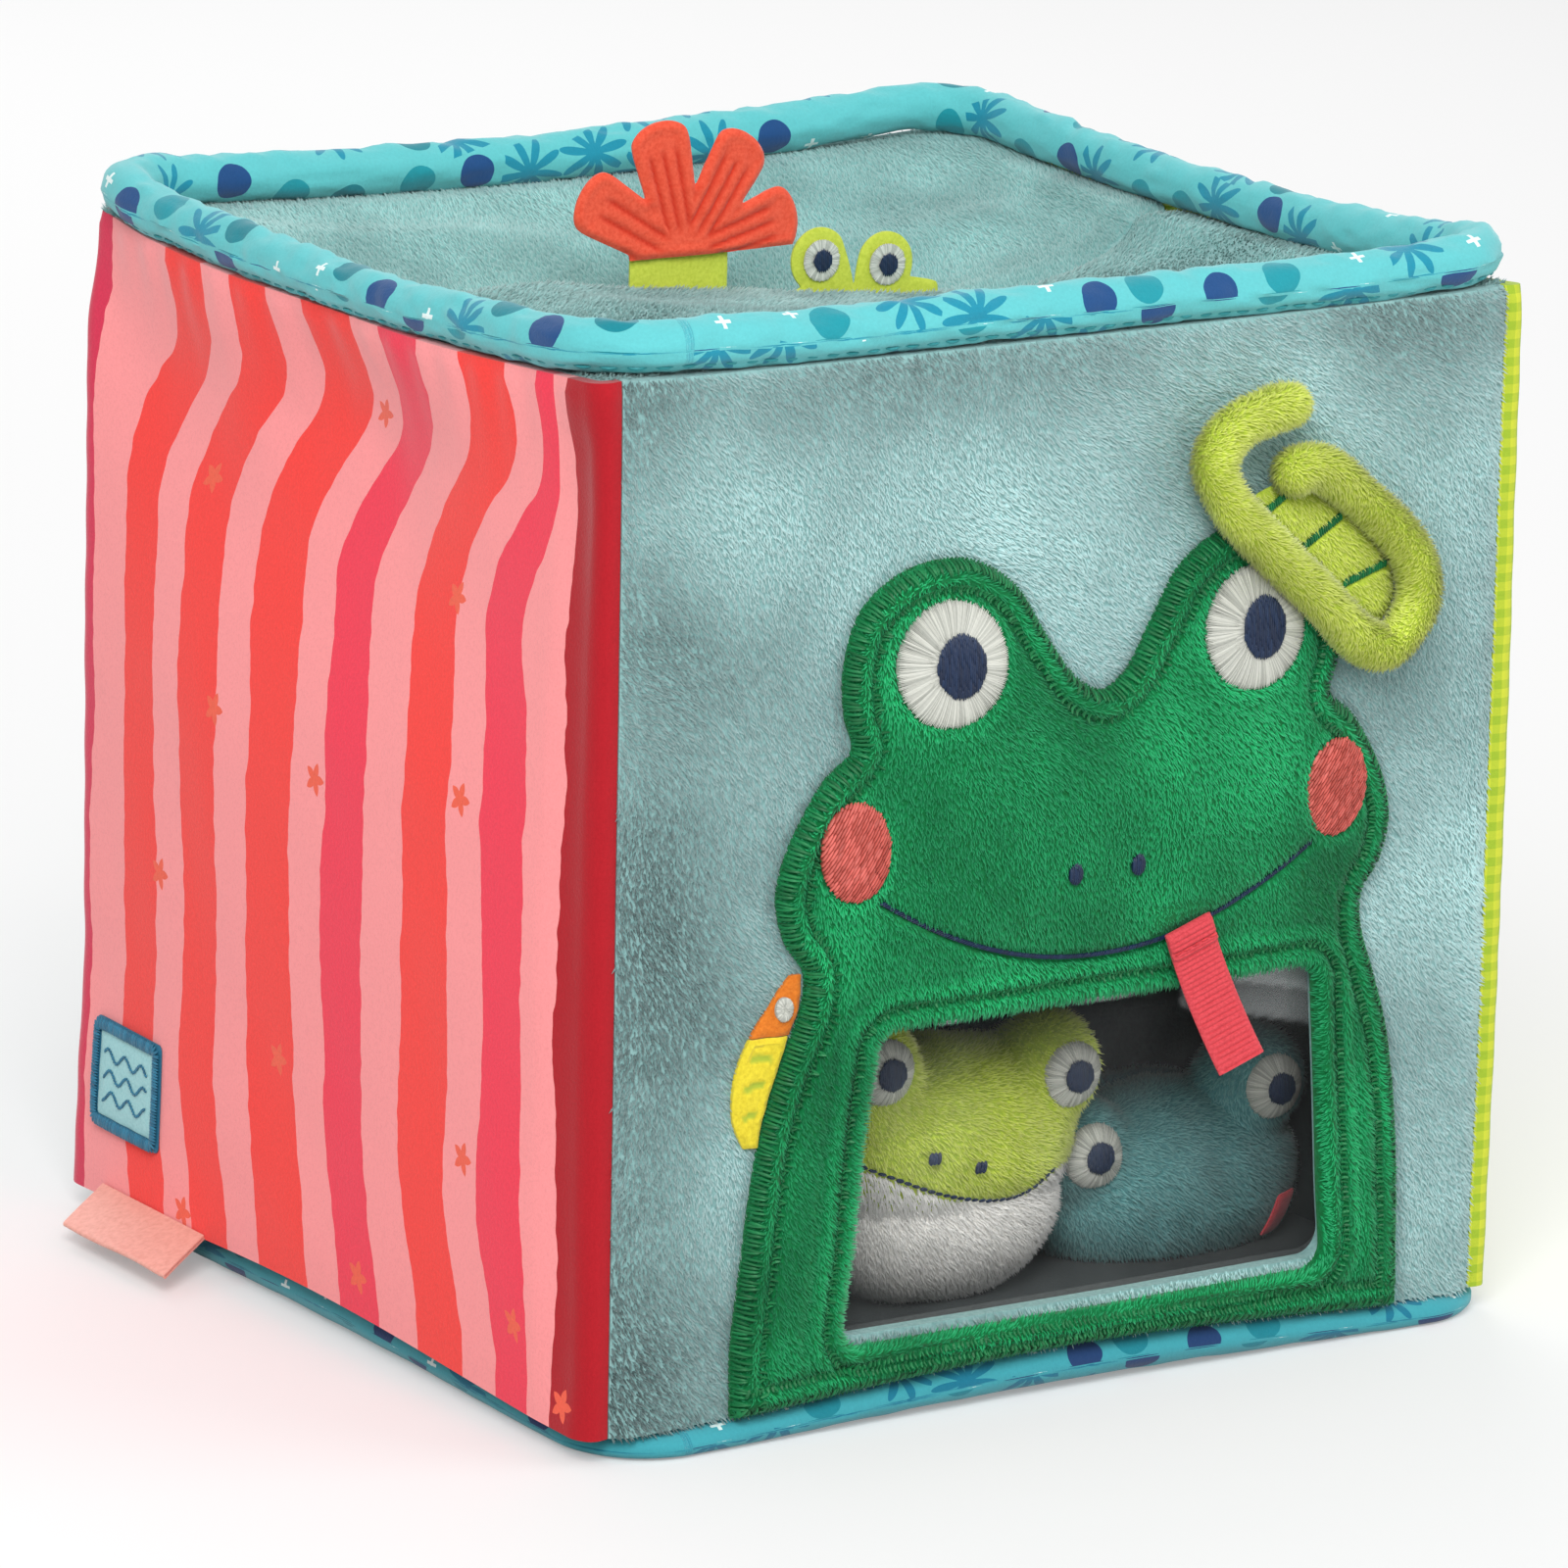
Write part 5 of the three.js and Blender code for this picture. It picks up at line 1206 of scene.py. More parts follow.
for name, eye in eyes.items():
    threadMound(f"eye_{name}", frontAt, eye, eyeStrands, "white_thread", 2.8, 11)
    threadMound(f"pupil_{name}", frontAt, pupils[name], pupilStrands, "navy_thread", 4.6, 12)
    threadMound(f"cheek_{name}", frontAt, cheeks[name], cheekStrands, "coral_thread", 2.9, 13)
    threadMound(f"nostril_{name}", frontAt, nostrils[name], nostrilStrands, "navy_thread", 4.2, 14)
starts, ends = lineStitches(mouthLine, 0.6, 1.25, 0.75)
points, groups, uv = layThreads(frontAt, starts, ends, {"width": 0.55, "height": 0.7, "lift": 3.2}, 15)
makePiece("mouth_thread", points, groups, "navy_thread", uv=uv, node="mouth_stitch")


# Zigzag stitches that bind the frog's edge, and those that hold it down round the window
def onPlush(x, z, lift):
    flat = np.stack([np.ravel(x), np.ravel(z)], -1)
    height = frogRelief(flat)
    return frontAt(*flat.T, np.where(inside(flat, frogRing), height, 0.3 * height) + np.ravel(lift))


def crossStitches(ring, pitch, fromEdge, toEdge, jag, rng):
    spots = evenly(ring, pitch, closed=True)
    ahead = unit(np.roll(spots, -1, 0) - np.roll(spots, 1, 0))
    inwards = np.stack([-ahead[:, 1], ahead[:, 0]], -1)
    slant = ahead * rng.uniform(-0.6, 0.6, len(spots))[:, None]
    reach = toEdge + rng.uniform(-jag, jag, len(spots))
    return spots + inwards * fromEdge, spots + slant + inwards * reach[:, None]


rng = np.random.default_rng(29)
rows = []
for line, pitch, low, high, jag, lift in (
        (frogRing, 0.85, -0.5, 2.0, 0.7, 0.5), (frogRing, 0.95, 4.3, 5.7, 0.5, 0.65),
        (windowOutline(4.3), 0.95, -0.8, 0.7, 0.4, 0.65)):
    starts, ends = crossStitches(line, pitch, low, high, jag, rng)
    thread = {"width": 0.55, "height": 0.6, "lift": lift}
    rows.append(layThreads(onPlush, starts, ends, thread, 30 + len(rows)))
points, groups, uv = joinParts(*rows)
frogStitches = makePiece("frog_edge_stitches", points, groups, "dark_green_thread", uv=uv, node="")
print("face embroidered")


# Grosgrain ribbon tongue: ribs across, a firmer selvedge on each side, folded over on top
tongue = {"x": 19.8, "width": 10.5, "length": 28.5, "thickness": 1.0, "tilt": 0.33, "curl": 6, "rib": 1.0}
tongueZ = mouth["z"] + mouth["rise"] * ((tongue["x"] - frog["axis"]) / mouth["half"]) ** 2 + 1.6
tongueY = -(block["halfDepth"] + float(swell(sides["front"], tongue["x"], tongueZ))) - 4.9


def tongueAt(aside, run, lift):
    share = run / tongue["length"]
    slope = 2 * tongue["curl"] * share / tongue["length"]
    away = tongue["curl"] * share ** 2 + lift
    down = run - lift * slope
    c, s = math.cos(tongue["tilt"]), math.sin(tongue["tilt"])
    return np.stack([tongue["x"] + aside * c + down * s, tongueY - away, tongueZ + aside * s - down * c], -1)


aside, run = np.meshgrid(np.linspace(-1, 1, 27) * tongue["width"] / 2, np.linspace(0, tongue["length"], 181))
edge = tongue["width"] / 2 - np.abs(aside)
rib = np.abs(np.sin(math.pi * run / tongue["rib"])) * 0.34 * ease((edge - 0.7) / 0.3)
selvedge = (0.12 + 0.05 * np.sin(2 * math.pi * run / 0.8)) * fade((edge - 0.7) / 0.3)
fold = 0.55 * fade((run - 5.2) / 0.5) - 0.5 * fade(run / 1.2) - 0.3 * bell((run - 4.1) / 0.35)
height = tongue["thickness"] - 0.3 + rib + selvedge + fold - 0.35 * fade(edge / 0.5)
top = tongueAt(aside.ravel(), run.ravel(), height.ravel())
bottom = tongueAt(aside.ravel(), run.ravel(), (0.02 + 0.2 * fade(edge / 0.5)).ravel())
tonguePiece = makeSheet("tongue_ribbon_cloth", top, bottom, gridFaces(*aside.shape)[:, ::-1],
                        np.stack([aside.ravel(), run.ravel()], -1), "coral_ribbon", "tongue")
marks = np.linspace(-0.4, 0.4, 5) * tongue["width"]
starts = np.stack([marks - 0.75, np.full(5, 4.1)], -1)
thread = {"width": 0.4, "height": 0.35, "lift": 1.3}
points, groups, uv = layThreads(tongueAt, starts, starts + [1.5, 0], thread, 16)
tongueStitches = makePiece("tongue_stitches", points, groups, "coral_ribbon stitch", "tongue", uv, "")

# Leaf: a stuffed roll round a sunken pad
leaf = {
    "corner": (23.4, 138.4), "span": 48, "radius": 4.5, "lift": 3.6,
    "rollShares": [(0.3, 0.71), (0.47, 0.75), (0.74, 0.575), (0.965, 0.34), (0.995, 0.155), (0.85, 0),
                   (0.72, 0.035), (0.5, 0.235), (0.26, 0.455), (0.065, 0.65), (0, 0.81), (0.09, 0.93),
                   (0.27, 0.99), (0.435, 1.02)],
    "padShares": [(0.2, 0.62), (0.46, 0.69), (0.7, 0.54), (0.9, 0.32), (0.91, 0.15), (0.82, 0.08),
                  (0.73, 0.11), (0.53, 0.29), (0.3, 0.51)],
    "veinShares": [((0.27, 0.59), (0.37, 0.645)), ((0.46, 0.43), (0.64, 0.53)), ((0.66, 0.26), (0.86, 0.32))],
}


def leafPlace(shares):
    return np.asarray(shares, float) * leaf["span"] + leaf["corner"]


flat = evenly(smoothLine(leafPlace(leaf["rollShares"]), 12), 1.1)
away = block["halfDepth"] + swell(sides["front"], *flat.T) + leaf["lift"] + leaf["radius"] - 0.2
path = np.stack([flat[:, 0], -away, flat[:, 1]], -1)
run = loopRun(path)
fromEnd = np.clip(np.minimum(run, run[-1] - run) / leaf["radius"], 0.02, 1)
radius = (leaf["radius"] - 0.7) * np.sqrt(1 - (1 - fromEnd) ** 2)
radius = radius * (1 + 0.08 * softNoise(run, 0 * run, 11, 101))
angle = fullTurn(24)
radius = radius[:, None] * (1 + 0.05 * softNoise(run[:, None], 9 * angle[None], 7, 102))
points, groups = sweepTube(path, radius, 24, False, (0, -1, 0))
makePiece("leaf_roll_plush", points, groups, "lime_plush back", uv=points[:, [0, 2]])
rollSurface = (points, groups)
padRing = evenly(smoothLine(leafPlace(leaf["padShares"]), 10, closed=True), 1.2, closed=True)
flat, faces = fillOutline(padRing, 1.2)
edge = distanceTo(flat, padRing)[0]
veins = [leafPlace(ends) for ends in leaf["veinShares"]]
dents = sum(bell(distanceTo(flat, vein, closed=False)[0] / 1.1) for vein in veins)
top = frontAt(*flat.T, 3.9 + 1.2 * ease(edge / 3) - 0.5 * dents)
bottom = frontAt(*flat.T, 3.5)
leafPad = makeSheet("leaf_pad_plush", top, bottom, faces, flat, "lime_plush back")
padSurface = (top, [faces])
for index, vein in enumerate(veins):
    starts, ends = lineStitches(vein, 0.55, 1.7, 1.25)
    thread = {"width": 0.6, "height": 0.7, "lift": 4.7}
    points, groups, uv = layThreads(frontAt, starts, ends, thread, 17 + index)
    makePiece(f"leaf_vein_{index + 1}_thread", points, groups, "dark_green_thread", uv=uv)
print("tongue and leaf done")


# Felt fish at the frog's flank, sewn along its right edge
fish = {"top": 89.5, "height": 33, "width": 9, "headShare": 0.36, "lift": 0.3, "thickness": 1.5, "eye": 1.8}


def fishEdge(z):
    rows = np.array(frog["halfShares"])
    order = rows[:, 1].argsort()
    return frog["axis"] - frog["halfWidth"] * np.interp(z / frog["height"], rows[order, 1], rows[order, 0])


def fishHalf(z):
    share = (z - fish["top"] + fish["height"]) / fish["height"]
    return fish["width"] * np.sin(math.pi * np.minimum(1, 0.06 + 0.9 * share)) ** 0.7


fishJoin = fish["top"] - fish["height"] * fish["headShare"]
for name, low, high, finish in (
        ("body", fish["top"] - fish["height"] + 0.6, fishJoin - 0.1, "yellow_felt"),
        ("head", fishJoin + 0.1, fish["top"] - 0.4, "orange_felt")):
    z = np.linspace(low, high, 26)
    left = np.stack([fishEdge(z) - fishHalf(z), z], -1)
    right = np.stack([fishEdge(z) - 0.55, z], -1)
    ring = evenly(np.concatenate([right, left[::-1]]), 0.7, closed=True)
    flat, faces = fillOutline(ring, 0.7)
    edge = distanceTo(flat, ring)[0]
    puff = fish["thickness"] - 0.7 * fade(edge / 1.1) + 0.25 * softNoise(*flat.T, 2.2, 111)
    puff -= 0.35 * bell((edge - 1.6) / 0.35)
    lines = np.zeros(len(flat))
    if name == "body":  # rows of curved quilting
        rows = np.sin(2 * math.pi * (flat[:, 1] + 0.09 * (flat[:, 0] + 70) ** 2) / 5.2)
        lines = ease((rows - 0.55) / 0.3) * ease((edge - 1.6) / 0.6)
        puff -= 0.3 * lines
    top = frontAt(*flat.T, fish["lift"] + puff)
    bottom = frontAt(*flat.T, fish["lift"])
    makeSheet(f"fish_{name}_felt", top, bottom, faces, np.stack([lines, edge], -1), finish, "fish")
eyeZ = fishJoin + 0.45 * (fish["top"] - fishJoin)
fishEye = dict(eyeStrands, rise=0.3, base=0.35, cell=0.8, radial=34, sides=30, width=0.42, height=0.3)
spot = (fishEdge(eyeZ) - 0.45 * fish["width"], eyeZ, fish["eye"], 1.35 * fish["eye"])
threadMound("fish_eye", frontAt, spot, fishEye, "white_thread", 1.75, 18, "fish")


# Woven patch low on the left side, with an overlocked edge
patch = {"y": 72.7, "z": 30.8, "width": 27.5, "height": 22, "border": 2.4, "thickness": 0.8}


def leftAt(s, z, lift):
    return clothAt("left", s, z, lift)


def patchRing(inset, radius, spacing):
    middle = np.array([-patch["y"], patch["z"]])
    half = np.array([patch["width"], patch["height"]]) / 2 - inset
    return evenly(roundedBox(middle - half, middle + half, radius), spacing, closed=True)


inset = patch["border"]
outer = patchRing(0, 1.2, 0.8)
inner = patchRing(inset, 0.6, 0.8)
flat, faces = fillOutline(outer, 0.8, [inner])
edge = np.minimum(distanceTo(flat, outer)[0], distanceTo(flat, inner)[0])
top = leftAt(*flat.T, 0.4 + 0.5 * ease(edge / 1.1))
bottom = leftAt(*flat.T, 0.15)
points, groups = closeSheet(top, bottom, faces)
middleRing = patchRing(inset / 2, 1.0, 0.6)
seam = np.concatenate([middleRing, middleRing[:1]])
starts, ends = lineStitches(seam, 0.6, inset + 0.2, math.pi / 2 - 0.12)
strands = layThreads(leftAt, starts, ends, {"width": 0.62, "height": 0.45, "lift": 0.75, "arch": 0.25}, 19)
points, groups, uv = joinParts((points, groups, np.tile([0.3, 0.0], (len(points), 1))), strands)
makePiece("patch_edge_overlocked", points, groups, "patch_border_blue", uv=uv, node="patch_border")
flat, faces = fillOutline(inner, 0.9)
edge = distanceTo(flat, inner)[0]
weave = 0.06 * np.sin(flat[:, 0] * 7.0) * np.sin(flat[:, 1] * 7.0)
top = leftAt(*flat.T, 0.55 + 0.25 * ease(edge / 3) + weave)
bottom = leftAt(*flat.T, 0.15)
patchField = makeSheet("patch_field_tape", top, bottom, faces, flat, "patch_pale_blue")
parts = []
for index, level in enumerate((-4.2, 0.0, 4.2)):
    s = np.linspace(-8.6, 8.6, 60)
    wave = np.stack([-patch["y"] + s, patch["z"] + level + 1.1 * np.sin(s * 0.9 + index)], -1)
    starts, ends = lineStitches(wave, 0.7, 1.1, 0.5)
    parts.append(layThreads(leftAt, starts, ends, {"width": 0.5, "height": 0.4, "lift": 0.75}, 21 + index))
points, groups, uv = joinParts(*parts)
makePiece("patch_waves_thread", points, groups, "patch_border_blue", uv=uv, node="")

# Folded satin label in the bottom seam
label = {"y": 61, "width": 41, "reach": 14.5, "skew": 9, "root": 8.5, "slope": 0.27, "thickness": 1.0}
side = sides["left"]
labelOut = faceOf(side) + float(swell(side, label["y"], label["root"]))
labelOut = block["gap"] + labelOut * float(flareAt(side, label["root"]))
count = 30
runs = np.linspace(0.1, label["reach"] - 0.5, count)
bend = np.linspace(-math.pi / 2, math.pi / 2, 9)[1:-1]
loop = [(r, -0.96) for r in runs]
loop += [(label["reach"] - 0.5 + 0.46 * math.cos(a), -0.5 + 0.46 * math.sin(a)) for a in bend]
loop += [(r, level) for level, way in ((-0.04, -1), (-0.42, 1), (-0.58, -1)) for r in runs[::way]]
loop = np.array(loop)
across = np.linspace(-label["width"] / 2, label["width"] / 2, 48)
r, a = np.meshgrid(loop[:, 0], across)
level = np.broadcast_to(loop[:, 1], r.shape)
out = r / label["reach"]
sway = 0.35 * np.sin(a / 6.5) * out ** 2 + 0.25 * softNoise(a, r, 8, 121) * out
down = r * math.sin(label["slope"]) - (level + sway) * math.cos(label["slope"])
out = r * math.cos(label["slope"]) + (level + sway) * math.sin(label["slope"])
y = label["y"] - a - label["skew"] * r / label["reach"]
points = np.stack([-(labelOut + out), y, label["root"] - down], -1).reshape(-1, 3)
walls = gridFaces(48, len(loop), False, True)
caps = np.stack([np.arange(len(loop))[::-1], np.arange(len(loop)) + 47 * len(loop)])
labelPiece = makePiece("side_label_tape", points, [walls, caps], "label_pink", "label",
                       np.stack([a.ravel(), r.ravel()], -1))
print("fish, patch and label done")


# Felt flower and felt frog that stand in the slit
felt = {"thickness": 1.5, "front": 12.5, "tabFront": 14.3, "tabRoot": 184}
flower = {"x": -17, "z": 199, "length": 27, "root": 4.2, "tip": 6.4, "turns": [2.6, 1.8, 0.98, 0.24],
          "calyx": 22, "grooves": [(-0.3, 0.3), (-0.5, 0, 0.5), (-0.5, 0, 0.5), (-0.5, 0, 0.5)]}


# Farthest crossing of rays from a centre with any of the outlines
def farthest(centre, angles, rings):
    way = np.stack([np.cos(angles), np.sin(angles)], -1)
    best = np.zeros(len(angles))
    for ring in rings:
        a = ring - centre
        b = np.roll(a, -1, 0)
        run = b - a
        cross = way[:, None, 0] * run[None, :, 1] - way[:, None, 1] * run[None, :, 0]
        cross = np.where(np.abs(cross) < 1e-9, 1e-9, cross)
        t = (a[None, :, 0] * run[None, :, 1] - a[None, :, 1] * run[None, :, 0]) / cross
        s = (a[None, :, 0] * way[:, None, 1] - a[None, :, 1] * way[:, None, 0]) / cross
        hit = (s >= -1e-6) & (s <= 1 + 1e-6) & (t > 0)
        best = np.maximum(best, np.where(hit, t, 0).max(1))
    return best


# Softened outline of several shapes that overlap, seen from a centre
def roundAll(centre, start, angles, rings, reach, mode):
    out = np.pad(farthest(start, angles, rings), reach, mode=mode)
    width = 2 * reach + 1
    out = np.convolve(out, np.ones(width) / width, "valid")
    return np.stack([centre[0] + out * np.cos(angles), centre[1] + out * np.sin(angles)], -1)


def petalRing(turn):
    arc = np.linspace(-math.pi / 2, math.pi / 2, 25)
    run = flower["length"] - flower["tip"] * (1 - np.cos(arc)) * 0.6
    aside = flower["tip"] * np.sin(arc)
    run = np.concatenate([[0], run, [0]])
    aside = np.concatenate([[-flower["root"]], aside, [flower["root"]]])
    return np.stack([flower["x"] + run * math.cos(turn) - aside * math.sin(turn),
                     flower["z"] + run * math.sin(turn) + aside * math.cos(turn)], -1)


centre = np.array([flower["x"], flower["z"]])
hub = np.array([(-12, 0), (12, 0), (12, 4.2), (-12, 4.2)]) + centre
rings = [petalRing(turn) for turn in flower["turns"]]
angles = np.linspace(0.0, math.pi, 420)
ring = evenly(roundAll(centre, centre + [0, 0.01], angles, [*rings, hub], 3, "edge"), 0.6, closed=True)
flat, faces = fillOutline(ring, 0.62)
edge = distanceTo(flat, ring)[0]
groove = np.zeros(len(flat))
spread = np.full(len(flat), np.inf)
local = flat - centre
for turn, marks in zip(flower["turns"], flower["grooves"]):
    run = local @ [math.cos(turn), math.sin(turn)]
    aside = local @ [-math.sin(turn), math.cos(turn)]
    half = flower["root"] + (flower["tip"] - flower["root"]) * run / flower["length"]
    share = aside / half
    nearer = np.abs(share) < spread
    here = sum(bell((share - mark) * half / 0.5) for mark in marks)
    here = here * ease((flower["length"] - 4.5 - run) / 3) * ease((run - 4) / 3)
    groove = np.where(nearer, here, groove)
    spread = np.where(nearer, np.abs(share), spread)
groove = np.clip(groove, 0, 1)
seam = bell((spread - 1) * 5 / 0.6) * ease((16 - np.hypot(*local.T)) / 4)
puff = 0.75 - 0.5 * fade(edge / 0.9) - 0.45 * groove - 0.35 * seam + 0.2 * bell((edge - 1.3) / 0.7)
puff += 0.12 * softNoise(*flat.T, 2.1, 131)
curl = 1.6 * np.clip(np.hypot(*local.T) / flower["length"], 0, 1.1) ** 2
middle = felt["front"] + felt["thickness"] / 2 + curl * 0.5 - 0.3 * np.sin(local[:, 0] / 5)
tones = np.stack([np.maximum(groove, 0.6 * seam), edge], -1)


# Felt that stands across the slit, `puff` thick on each side of its middle
def standingFelt(name, flat, faces, middle, puff, tones, finish, body):
    top, bottom = (np.stack([flat[:, 0], middle + way * puff, flat[:, 1]], -1) for way in (-1, 1))
    return makeSheet(name, top, bottom, faces, tones, finish, body)


petals = standingFelt("flower_petals_felt", flat, faces, middle, puff, tones, "coral_felt", "flower")


def feltPlate(name, ring, body, seed):
    ring = evenly(ring, 0.8, closed=True)
    flat, faces = fillOutline(ring, 0.9)
    edge = distanceTo(flat, ring)[0]
    puff = 0.72 - 0.45 * fade(edge / 1.1) - 0.22 * bell((edge - 1.7) / 0.3)
    puff += 0.1 * softNoise(*flat.T, 2.3, seed)
    middle = felt["tabFront"] + felt["thickness"] / 2
    return standingFelt(name, flat, faces, middle, puff, flat, "lime_felt", body)


calyxTop = flower["z"] + flower["root"]
half = flower["calyx"] / 2
ring = roundedBox((flower["x"] - half, felt["tabRoot"]), (flower["x"] + half, calyxTop), 2.2)
calyx = feltPlate("flower_calyx_felt", ring, "flower", 132)

peek = {"x": 25, "half": 18, "brow": 189.5, "eyes": [(15.2, 195.2), (30.5, 193.1)], "bump": 6.4, "ring": 4.2,
        "pupil": 2.1}
shapes = [ellipse(x, z, peek["bump"], peek["bump"]) for x, z in peek["eyes"]]
low, high = (peek["x"] - peek["half"], felt["tabRoot"]), (peek["x"] + peek["half"], peek["brow"])
shapes.append(roundedBox(low, high, 2.0))
centre = np.array([peek["x"] - 1.5, peek["brow"] - 1.0])
angles = np.linspace(0, 2 * math.pi, 500, endpoint=False)
ring = roundAll(centre, centre, angles, shapes, 4, "wrap")
ring[:, 1] = np.maximum(ring[:, 1], felt["tabRoot"])
peekFrog = feltPlate("peek_frog_felt", ring, "peeping_frog", 133)
peekRing = dict(eyeStrands, rise=0.15, base=0.2, cell=0.9, radial=70, sides=44, width=0.42, height=0.2)
peekPupil = dict(pupilStrands, rise=0.1, base=0.2, cell=0.6, sides=30, width=0.42, height=0.2)


def planeAt(x, z, lift):
    return np.stack([x, felt["tabFront"] - lift, z], -1)


for name, (x, z) in zip(("left", "right"), peek["eyes"]):
    threadMound(f"peek_eye_{name}", planeAt, (x, z, peek["ring"], peek["ring"]), peekRing,
                "white_thread", 0.1, 23, "peeping_frog")
    threadMound(f"peek_pupil_{name}", planeAt, (x, z, peek["pupil"], peek["pupil"]), peekPupil,
                "navy_thread", 0.75, 24, "peeping_frog")
print("flower and peeping frog done")


# Clear window, held behind the frog's edge, with crumples in the upper left
filmRing = windowOutline(6)
flat, faces = fillOutline(filmRing, 1.1)
calm = ease((distanceTo(flat, filmRing)[0] - 7) / 9)
x, z = flat.T
crumple = 1.2 * softNoise(x + 0.7 * z, z, 26, 141)
upperLeft = bell((x + 32) / 26) * bell((z - 66) / 12)
crease = np.abs(softNoise(x - 1.2 * z, z, 7, 142))
crumple += upperLeft * (2.2 * crease - 0.6)
level = -block["skin"] - block["gap"] + calm * (crumple - 0.8)
top = sideAt("front", *flat.T, level - 0.05)
bottom = sideAt("front", *flat.T, level - 0.45)
# Milky places: creases along the upper left, and a lamp's straight-edged gleams at right, painted on as
# reflections
slant = z + 0.24 * (x - 50)
frill = z + 1.6 * softNoise(x, 0 * x, 9, 143) + 0.03 * x
milkAndPaintedGleams = 0.55 * ease((frill - 74.6) / 0.8) * ease((16 - x) / 4) * (0.5 + 0.6 * crease)
milkAndPaintedGleams += 0.2 * ease((slant - 71) / 0.8) * ease(x - 20) + 0.1 * ease((slant - 64.5) / 0.8) * ease(x - 25)
filmPiece = makeSheet("window_film_clear", top, bottom, faces, np.stack([milkAndPaintedGleams, 0 * milkAndPaintedGleams], -1), "clear_film")

# Lining pocket behind the window
pocket = {"half": 85.5, "front": -85.5, "depth": 56, "floor": 9.6, "height": 92, "cloth": 1.2, "corner": 7}


def pocketWalls(inset):
    half = pocket["half"] - inset
    back = pocket["front"] + pocket["depth"] - inset
    radius = pocket["corner"]
    spots = [(-half, pocket["front"])]
    arc = np.linspace(0, math.pi / 2, 9)
    spots += [(-half + radius * (1 - math.cos(a)), back - radius + radius * math.sin(a)) for a in arc]
    spots += [(half - radius * (1 - math.sin(a)), back - radius + radius * math.cos(a)) for a in arc]
    spots.append((half, pocket["front"]))
    return evenly(np.array(spots), 3.0)


outerLine = pocketWalls(0.1)
columns = len(outerLine)
ahead = unit(np.gradient(outerLine, axis=0))
inward = np.stack([ahead[:, 1], -ahead[:, 0]], -1)
levels = np.linspace(pocket["floor"] + 0.1, pocket["floor"] + pocket["height"] - 0.2, 34)
run = loopRun(outerLine)
fold = softNoise(run[None, :] + 0 * levels[:, None], levels[:, None] + 0 * run[None, :], 19, 151)
fold = 1.1 * (fold + 1) * ease((levels[:, None] - 14) / 20) * ease((run - 6) / 20)
fold = fold * ease((run[-1] - 6 - run) / 20)
walls = []
for extra in (pocket["cloth"], 0.0):
    place = outerLine[None] + inward[None] * (fold + extra)[..., None]
    heights = np.broadcast_to(levels[:, None, None], (34, columns, 1))
    walls.append(np.concatenate([place, heights], -1).reshape(-1, 3))
faces = gridFaces(34, columns)
points, groups = closeSheet(walls[0], walls[1], faces[:, ::-1])
ring = evenly(np.concatenate([outerLine, outerLine[-1:] + [0, 0.01]])[:-1], 3.0, closed=True)
flat, faces = fillOutline(ring + (np.array([0, pocket["front"] + pocket["depth"] / 2]) - ring) * 0.012, 4.0)
base = pocket["floor"] + 0.1
top = np.column_stack([flat, base + 1.0 + 0 * flat[:, 0]])
bottom = np.column_stack([flat, base + 0 * flat[:, 0]])
floorPoints, floorGroups = closeSheet(top, bottom, faces)
points, groups, uv = joinParts((points, groups, points[:, [0, 2]]),
                               (floorPoints, floorGroups, floorPoints[:, [0, 1]]))
pocketPiece = makePiece("window_pocket_lining", points, groups, "dark_lining", uv=uv)
print("window and pocket done")


# Stuffed frogs behind the window: a head with two eye bumps melts into a softer belly
toy = {"half": (31, 18, 20), "belly": (27.9, 16.2, 19), "floor": 11.1,
       "bump": 10.5, "bumpAside": 21.5, "bumpUp": 15.5, "eye": 6.6, "pupil": 3.1, "melt": 3.5}
toyKinds = {
    "lime": {"x": -7.8, "y": -65.5, "tilt": -0.14, "headUp": 30.4, "bellyUp": 17, "bellyBack": 0, "sign": 1,
             "head": "lime_plush", "belly": "white_plush",
             "nostrils": ((-11.0, 1.7), (-1.4, -1.0)),
             "seam": ((-31, 4), (-24.5, 0.8), (-17.6, -2.2), (-9.5, -5.6), (-1.9, -7.9), (5, -9.2),
                      (12, -9), (19, -6))},
    "blue": {"x": 50.9, "y": -57, "tilt": 0.19, "headUp": 11.7, "bellyUp": 12, "bellyBack": 9, "sign": -1,
             "head": "blue_plush", "belly": "deep_teal_plush",
             "nostrils": (), "seam": ()},
}
parting = {"x": 20.6, "y": -61.5, "turn": 0.12, "gap": 0.25}


def toySpot(kind, aside, up):
    c, s = math.cos(kind["tilt"]), math.sin(kind["tilt"])
    middle = toy["floor"] + kind["headUp"]
    return np.array([kind["x"] + aside * c - up * s, kind["y"], middle + aside * s + up * c])


def ellipsoidGap(points, centre, half):
    local = (points - centre) / half
    size = np.linalg.norm(local, axis=-1)
    return size * (size - 1) / np.maximum(np.linalg.norm(local / half, axis=-1), 1e-9)


def headGap(kind, points):
    gap = ellipsoidGap(points, toySpot(kind, 0, 0), np.array(toy["half"]))
    for sign in (-1, 1):
        centre = toySpot(kind, sign * toy["bumpAside"], toy["bumpUp"]) - [0, toy["half"][1] / 4, 0]
        bump = np.linalg.norm(points - centre, axis=-1) - toy["bump"]
        mix = np.clip(0.5 + 0.5 * (bump - gap) / toy["melt"], 0, 1)
        gap = bump * (1 - mix) + gap * mix - toy["melt"] * mix * (1 - mix)
    return gap


def bellySpot(kind):
    return np.array([kind["x"], kind["y"] + kind["bellyBack"], toy["floor"] + kind["bellyUp"]])


def bellyGap(kind, points):
    return ellipsoidGap(points, bellySpot(kind), np.array(toy["belly"]))


